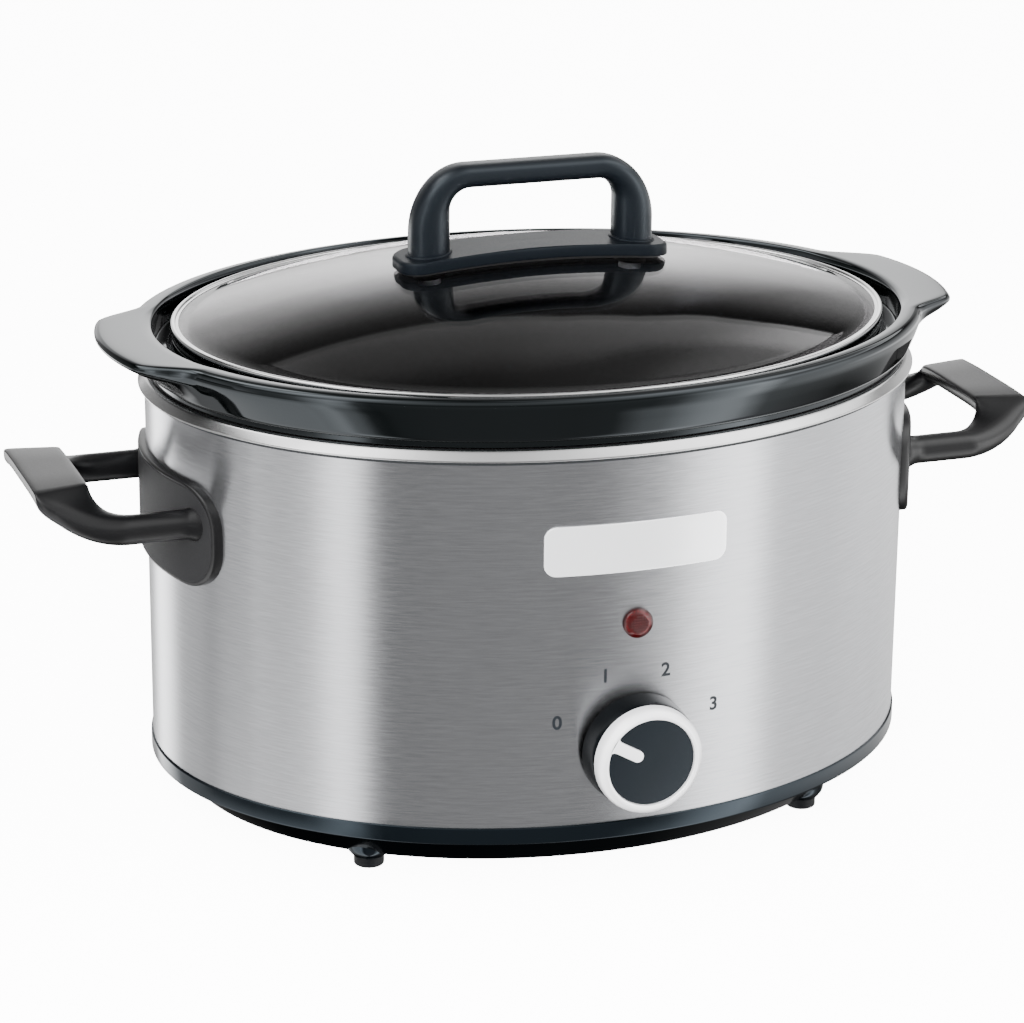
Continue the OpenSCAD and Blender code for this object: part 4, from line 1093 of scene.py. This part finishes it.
@undoable
class COOKER_OT_badge(bpy.types.Operator):
    """Makes the bare polished plate above the lamp."""
    bl_idname = "cooker.badge"
    bl_label = "Badge plate"

    def execute(self, context):
        lo, hi = node_box("badge_plate")
        w, h, mid_z = hi[0] - lo[0], hi[2] - lo[2], (hi[2] + lo[2]) / 2
        plate = slab(rounded_outline(w, h, 4.4, gap=1.5), lambda x, z, d: (x, wall_y(x) - d, mid_z + z),
                     lambda x, z: 0.05, lambda x, z: 0.65, 0.35, 8)
        piece("badge_plate_bare", [plate], finish("polished_aluminium_plate"), "base", ["badge_plate"])
        return {"FINISHED"}


@undoable
class COOKER_OT_gland(bpy.types.Operator):
    """Makes the cord gland at the rear, without a cord."""
    bl_idname = "cooker.gland"
    bl_label = "Cord gland"

    def execute(self, context):
        lo, hi = node_box("cord_gland")
        z = (lo[2] + hi[2]) / 2
        shape = soft_profile([
            (3.6, -9, 0.3), (6.5, -9, 0.6), (6.5, 0.1, 0), (9, 0.1, 0.3), (9, 2.0, 0.9),
            (7.2, 3.2, 0.8), (3.6, 3.2, 0.6)])
        body = turned(shape, lambda u, v, d: (u, WALL_HI[1] + d, z + v), 64, closed=True)
        piece("cord_gland_moulding", [body], finish("black_nylon_gland"), "base", ["cord_gland"])
        return {"FINISHED"}


# ---- Inner parts ----

INNER_FINISHES = {
    "zinc_plated_steel": (
        "heater_strap", "centre_stud", "stud_spacer", "shield_nut", "base_washer", "base_nut",
        "switch_nut", "switch_shaft", "lamp_clip", "handle_bracket_left", "handle_bracket_right",
        "handle_screws_left", "handle_screws_right", "lid_screws"),
    "rolled_aluminised_shield": ("heat_shield",),
    "unglazed_white_ceramic": ("thermal_fuse",),
    "brown_phenolic_paper_board": ("switch_body", "switch_cover"),
    "stamped_brass": ("switch_terminals",),
    "neon_lamp_glass": ("lamp_bulb",),
    "white_moulded_nylon": ("lamp_base", "gland_nut", "terminal_block"),
    "blue_silicone_wire_sleeve": ("switch_wires",),
    "red_silicone_wire_sleeve": ("heater_leads",),
    "black_silicone_washer": ("lid_washers",),
}


@undoable
class COOKER_OT_inner_parts(bpy.types.Operator):
    """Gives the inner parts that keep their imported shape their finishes."""
    bl_idname = "cooker.inner_parts"
    bl_label = "Inner parts"

    def execute(self, context):
        painted = [(finish(name), nodes) for name, nodes in INNER_FINISHES.items()]
        for material, nodes in painted + [(woven_tape(), ("heater_band",))]:
            for node in nodes:
                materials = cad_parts[node].data.materials
                materials.clear()
                materials.append(material)
        return {"FINISHED"}


# ---- Stage ----

# Brightness of the room by direction in degrees, 0 along +X and -90 to the front.
DIRECTIONS = {
    "walls": (
        (-180, 0.42), (-170, 0.48), (-162, 0.56), (-157, 0.85), (-152, 2.0), (-146, 3.2),
        (-142, 2.6), (-138, 0.6), (-134, 0.25), (-118, 0.33), (-95, 0.35), (-82, 0.34), (-72, 0.38),
        (-66, 0.4), (-60, 0.78), (-53, 2.3), (-46, 3.6), (-39, 4.7), (-35.5, 3.6), (-31, 1.95),
        (0, 1.85), (20, 1.5), (60, 1.2), (80, 0.72), (101, 1.2), (110, 6.2), (119, 5.5),
        (132, 1.15), (140, 1.08), (150, 0.95), (158, 0.45), (180, 0.4)),
    # the soft box above the walls at the front
    "upper": (
        (-180, 5.0), (-160, 5.0), (-150, 3.4), (-132, 1.6), (-118, 1.0), (-103, 0.83), (-90, 0.95),
        (-76, 1.3), (-60, 2.0), (-46, 2.5), (-30, 3.2), (-11, 3.7), (30, 3.2), (180, 5.0)),
    # at the rear: how far the ceiling's edge comes down, the ceiling, the wall, and a glow
    "tilt": ((46, 0.24), (51, 0.17), (54, 0.11), (57, 0.08), (60, 0.03), (66, 0.0)),
    "ceiling": ((46, 2.6), (50, 2.0), (54, 0.8), (60, 0.6), (70, 0.42), (86, 0.32), (110, 0.8)),
    "far_wall": (
        (30, 1.0), (50, 0.5), (58, 0.5), (64, 1.0), (82, 1.05), (98, 1.0), (104, 0.25), (150, 0.1),
        (170, 0.6)),
    "glow": ((58, 0.0), (66, 1.6), (76, 1.6), (86, 0.0)),
    # a lantern high on the left, the bright pool on the floor, and the floor's dark side
    "lantern": ((118, 0.0), (132, 5.0), (165, 5.0), (178, 0.0)),
    "pool": (
        (-180, 1.8), (-160, 1.8), (-148, 0.6), (-140, 0.0), (-73, 0.0), (-66, 1.0), (-58, 1.0),
        (-50, 0.7), (-44, 0.0), (150, 0.0), (158, 1.8), (180, 1.8)),
    "dark": (
        (-150, 0.0), (-146, 0.5), (-136, 0.5), (-130, 0.0), (-44, 0.0), (-37, 0.4), (-30, 0.55),
        (-20, 0.7), (0, 0.9), (60, 0.85), (75, 0.92), (105, 0.92), (130, 0.5), (150, 0.0)),
}
# Each one's share by height, -1 straight down and 1 straight up.
HEIGHTS = {
    "wall_share": ((-0.3, 1.0), (0, 1.1), (0.15, 1.3), (0.4, 0.5), (0.6, 0.15)),
    "upper_share": ((0.38, 0.0), (0.6, 1.0), (0.88, 1.0), (0.94, 0.35), (1.0, 0.2)),
    "glow_share": ((0.02, 0.0), (0.2, 1.0), (0.3, 1.0), (0.45, 0.0)),
    "lantern_share": ((0.68, 0.0), (0.76, 1.0), (0.9, 1.0), (0.95, 0.0)),
}
# The same at the rear, by height over the ceiling's edge.
REAR_HEIGHTS = {
    "below": ((-0.06, 0.0), (0.0, 1.6), (0.1, 1.8), (0.2, 1.5), (0.28, 1.4), (0.34, 1.05), (0.42, 0.85),
              (0.5, 0.5), (0.55, 0.26), (0.59, 0.12), (0.64, 0.06), (0.7, 0.0)),
    "above": ((0.638, 0.0), (0.648, 1.0), (0.76, 0.75), (0.82, 0.3), (1.0, 0.25)),
}
# How the parts come together: each result, its operation and what goes in.
ROOM_SUMS = (
    ("front", "MULTIPLY", "walls", "wall_share"),
    ("front", "MULTIPLY_ADD", "upper", "upper_share", "front"),
    ("rear", "MULTIPLY", "walls", "low"),
    ("rear", "MULTIPLY_ADD", "far_wall", "below", "rear"),
    ("rear", "MULTIPLY_ADD", "ceiling", "above", "rear"),
    ("rear", "MULTIPLY_ADD", "glow", "glow_share", "rear"),
    ("rear", "MULTIPLY_ADD", "lantern", "lantern_share", "rear"),
    ("gap", "SUBTRACT", "front", "rear"),
    ("room", "MULTIPLY_ADD", "facing", "gap", "rear"),
    ("room", "MULTIPLY_ADD", "pool", "deep", "room"),
    ("dark", "MULTIPLY", "dark", "deep"),
    ("bright", "SUBTRACT", 1.0, "dark"),
    ("room", "MULTIPLY", "room", "bright"),
    ("room", "MULTIPLY", "room", "shade"),
)
BACKGROUND = 12.5
# Each soft box: its place and width in metres, and its power in watts.
SOFT_BOXES = {
    "key_box": ((-1.1, -0.6, 1.6), 1.2, 14),
    "fill_box": ((1.5, -0.9, 1.3), 1.4, 8),
    "front_box": ((-0.75, -1.75, 0.75), 1.4, 150),
}
CAMERA_TURNS = (19.27, 18.84, 0.48)
CAMERA_DISTANCE = 1.3717
CAMERA_TARGET = (-6.3, 0.9 + MID_Y, 105.7)
FOCAL_PIXELS, FRAME_PIXELS, SENSOR = 3544, 1024, 36


@undoable
class COOKER_OT_stage(bpy.types.Operator):
    """Makes the pale floor, the soft studio light and the camera."""
    bl_idname = "cooker.stage"
    bl_label = "Stage"

    def execute(self, context):
        for make in (make_floor, make_room, make_lamps, make_camera):
            make(context.scene)
        return {"FINISHED"}


def make_floor(scene):
    size, z = 6.0, -0.0002
    mesh = bpy.data.meshes.new("floor")
    mesh.from_pydata([(-size, -size, z), (size, -size, z), (size, size, z), (-size, size, z)], [],
                     [(0, 1, 2, 3)])
    mesh.materials.append(finish("backlit_pale_floor"))
    floor = bpy.data.objects.new("floor", mesh)
    scene.collection.objects.link(floor)
    floor.visible_glossy = False
    floor.visible_diffuse = False


def make_room(scene):
    """A room of large soft boxes, bright and grey by turns, as seen from the object."""
    world = bpy.data.worlds.new("studio")
    scene.world = world
    world.use_nodes = True
    tree = world.node_tree
    tree.nodes.clear()
    way = add(tree, "ShaderNodeTexCoord").outputs["Generated"]
    x, y, z = add(tree, "ShaderNodeSeparateXYZ", (way,)).outputs
    turn = add(tree, "ShaderNodeMath", (y, x), operation="ARCTAN2")
    direction = add(tree, "ShaderNodeMapRange", (turn, -math.pi, math.pi, 0.0, 1.0))
    height = add(tree, "ShaderNodeMapRange", (z, -1.0, 1.0, 0.0, 1.0))
    # the floor under the object lies in its shade
    turned_by, level, down = math.radians(80), 0.47, -0.88
    shade_way = Vector((math.cos(turned_by) * level, math.sin(turned_by) * level, down))
    near = add(tree, "ShaderNodeVectorMath", (way, shade_way.normalized()), operation="DOT_PRODUCT")
    parts = {name: add(tree, "ShaderNodeMapRange", limits) for name, limits in (
        ("low", (z, -0.2, -0.1, 1.0, 0.0)), ("facing", (y, 0.15, -0.2, 0.0, 1.0)),
        ("deep", (z, -0.36, -0.5, 0.0, 1.0)),
        ("shade", (near.outputs["Value"], 0.84, 0.96, 1.0, 0.06)))}
    parts.update(brightness(tree, direction, DIRECTIONS, 180))
    parts.update(brightness(tree, height, HEIGHTS, 1))
    over = add(tree, "ShaderNodeMath", (parts["tilt"], 0.5, height), operation="MULTIPLY_ADD")
    parts.update(brightness(tree, over, REAR_HEIGHTS, 1))
    for result, operation, *inputs in ROOM_SUMS:
        inputs = [parts.get(v, v) for v in inputs]
        parts[result] = add(tree, "ShaderNodeMath", inputs, operation=operation)
    seen = add(tree, "ShaderNodeLightPath").outputs["Is Camera Ray"]
    pale = add(tree, "ShaderNodeMix", {0: seen, 2: parts["room"], 3: BACKGROUND})
    light = add(tree, "ShaderNodeBackground", {"Color": (1, 1, 1, 1), "Strength": pale})
    add(tree, "ShaderNodeOutputWorld", {"Surface": light})


def brightness(tree, value, curves, span):
    """Ramps of brightness from 0 to 10 over a value from 0 to 1, with stops from -span to span."""
    made = {}
    for name, stops in curves.items():
        band = add(tree, "ShaderNodeValToRGB", (value,))
        elements = band.color_ramp.elements
        elements.remove(elements[-1])
        for i, (place, level) in enumerate(stops):
            place = (place / span + 1) / 2
            stop = elements.new(place) if i else elements[0]
            stop.position = place
            stop.color = (*[level / 10] * 3, 1)
        made[name] = add(tree, "ShaderNodeMath", (band, 10.0), operation="MULTIPLY")
    return made


def make_lamps(scene):
    for name, (place, size, power) in SOFT_BOXES.items():
        data = bpy.data.lights.new(name, "AREA")
        data.size = size
        data.energy = power
        lamp = bpy.data.objects.new(name, data)
        lamp.visible_glossy = False
        lamp.visible_transmission = False
        lamp.location = place
        lamp.rotation_mode = "QUATERNION"
        lamp.rotation_quaternion = (Vector(place) - Vector((0, 0, 0.1))).to_track_quat("Z", "Y")
        scene.collection.objects.link(lamp)


def make_camera(scene):
    data = bpy.data.cameras.new("camera")
    data.sensor_width = SENSOR
    data.lens = FOCAL_PIXELS / FRAME_PIXELS * SENSOR
    data.clip_start, data.clip_end = 0.05, 50
    camera = bpy.data.objects.new("camera", data)
    scene.collection.objects.link(camera)
    yaw, pitch, roll = [math.radians(v) for v in CAMERA_TURNS]
    ahead = Vector((math.sin(yaw) * math.cos(pitch), math.cos(yaw) * math.cos(pitch), -math.sin(pitch)))
    right = Vector((math.cos(yaw), -math.sin(yaw), 0))
    up = right.cross(ahead)
    across = right * math.cos(roll) + up * math.sin(roll)
    above = up * math.cos(roll) - right * math.sin(roll)
    place = Vector(CAMERA_TARGET) * MM - ahead * CAMERA_DISTANCE
    rows = [(across[i], above[i], -ahead[i], place[i]) for i in range(3)]
    camera.matrix_world = Matrix((*rows, (0, 0, 0, 1)))
    scene.camera = camera


OPERATORS = (
    COOKER_OT_stage, COOKER_OT_housing, COOKER_OT_well, COOKER_OT_pan, COOKER_OT_feet, COOKER_OT_crock,
    COOKER_OT_lid, COOKER_OT_lid_handle, COOKER_OT_side_handles, COOKER_OT_knob, COOKER_OT_dial_marks,
    COOKER_OT_lamp, COOKER_OT_badge, COOKER_OT_gland, COOKER_OT_inner_parts)


class COOKER_PT_panel(bpy.types.Panel):
    """Lists the pieces, sizes and colours in the 3D view's sidebar."""
    bl_idname = "COOKER_PT_panel"
    bl_label = "Slow cooker"
    bl_space_type = "VIEW_3D"
    bl_region_type = "UI"
    bl_category = "Slow cooker"

    def draw(self, context):
        for operator in OPERATORS:
            self.layout.operator(operator.bl_idname)
        for group in (context.scene.cooker_sizes, context.scene.cooker_colours):
            box = self.layout.box()
            for key in group.__annotations__:
                box.prop(group, key)


CLASSES = (CookerSizes, CookerColours, *OPERATORS, COOKER_PT_panel)


def register():
    for cls in CLASSES:
        bpy.utils.register_class(cls)
    bpy.types.Scene.cooker_sizes = bpy.props.PointerProperty(type=CookerSizes)
    bpy.types.Scene.cooker_colours = bpy.props.PointerProperty(type=CookerColours)


def unregister():
    del bpy.types.Scene.cooker_colours
    del bpy.types.Scene.cooker_sizes
    for cls in reversed(CLASSES):
        bpy.utils.unregister_class(cls)


def main():
    register()
    for operator in OPERATORS:
        group, name = operator.bl_idname.split(".")
        getattr(getattr(bpy.ops, group), name)()


if __name__ == "__main__":
    main()
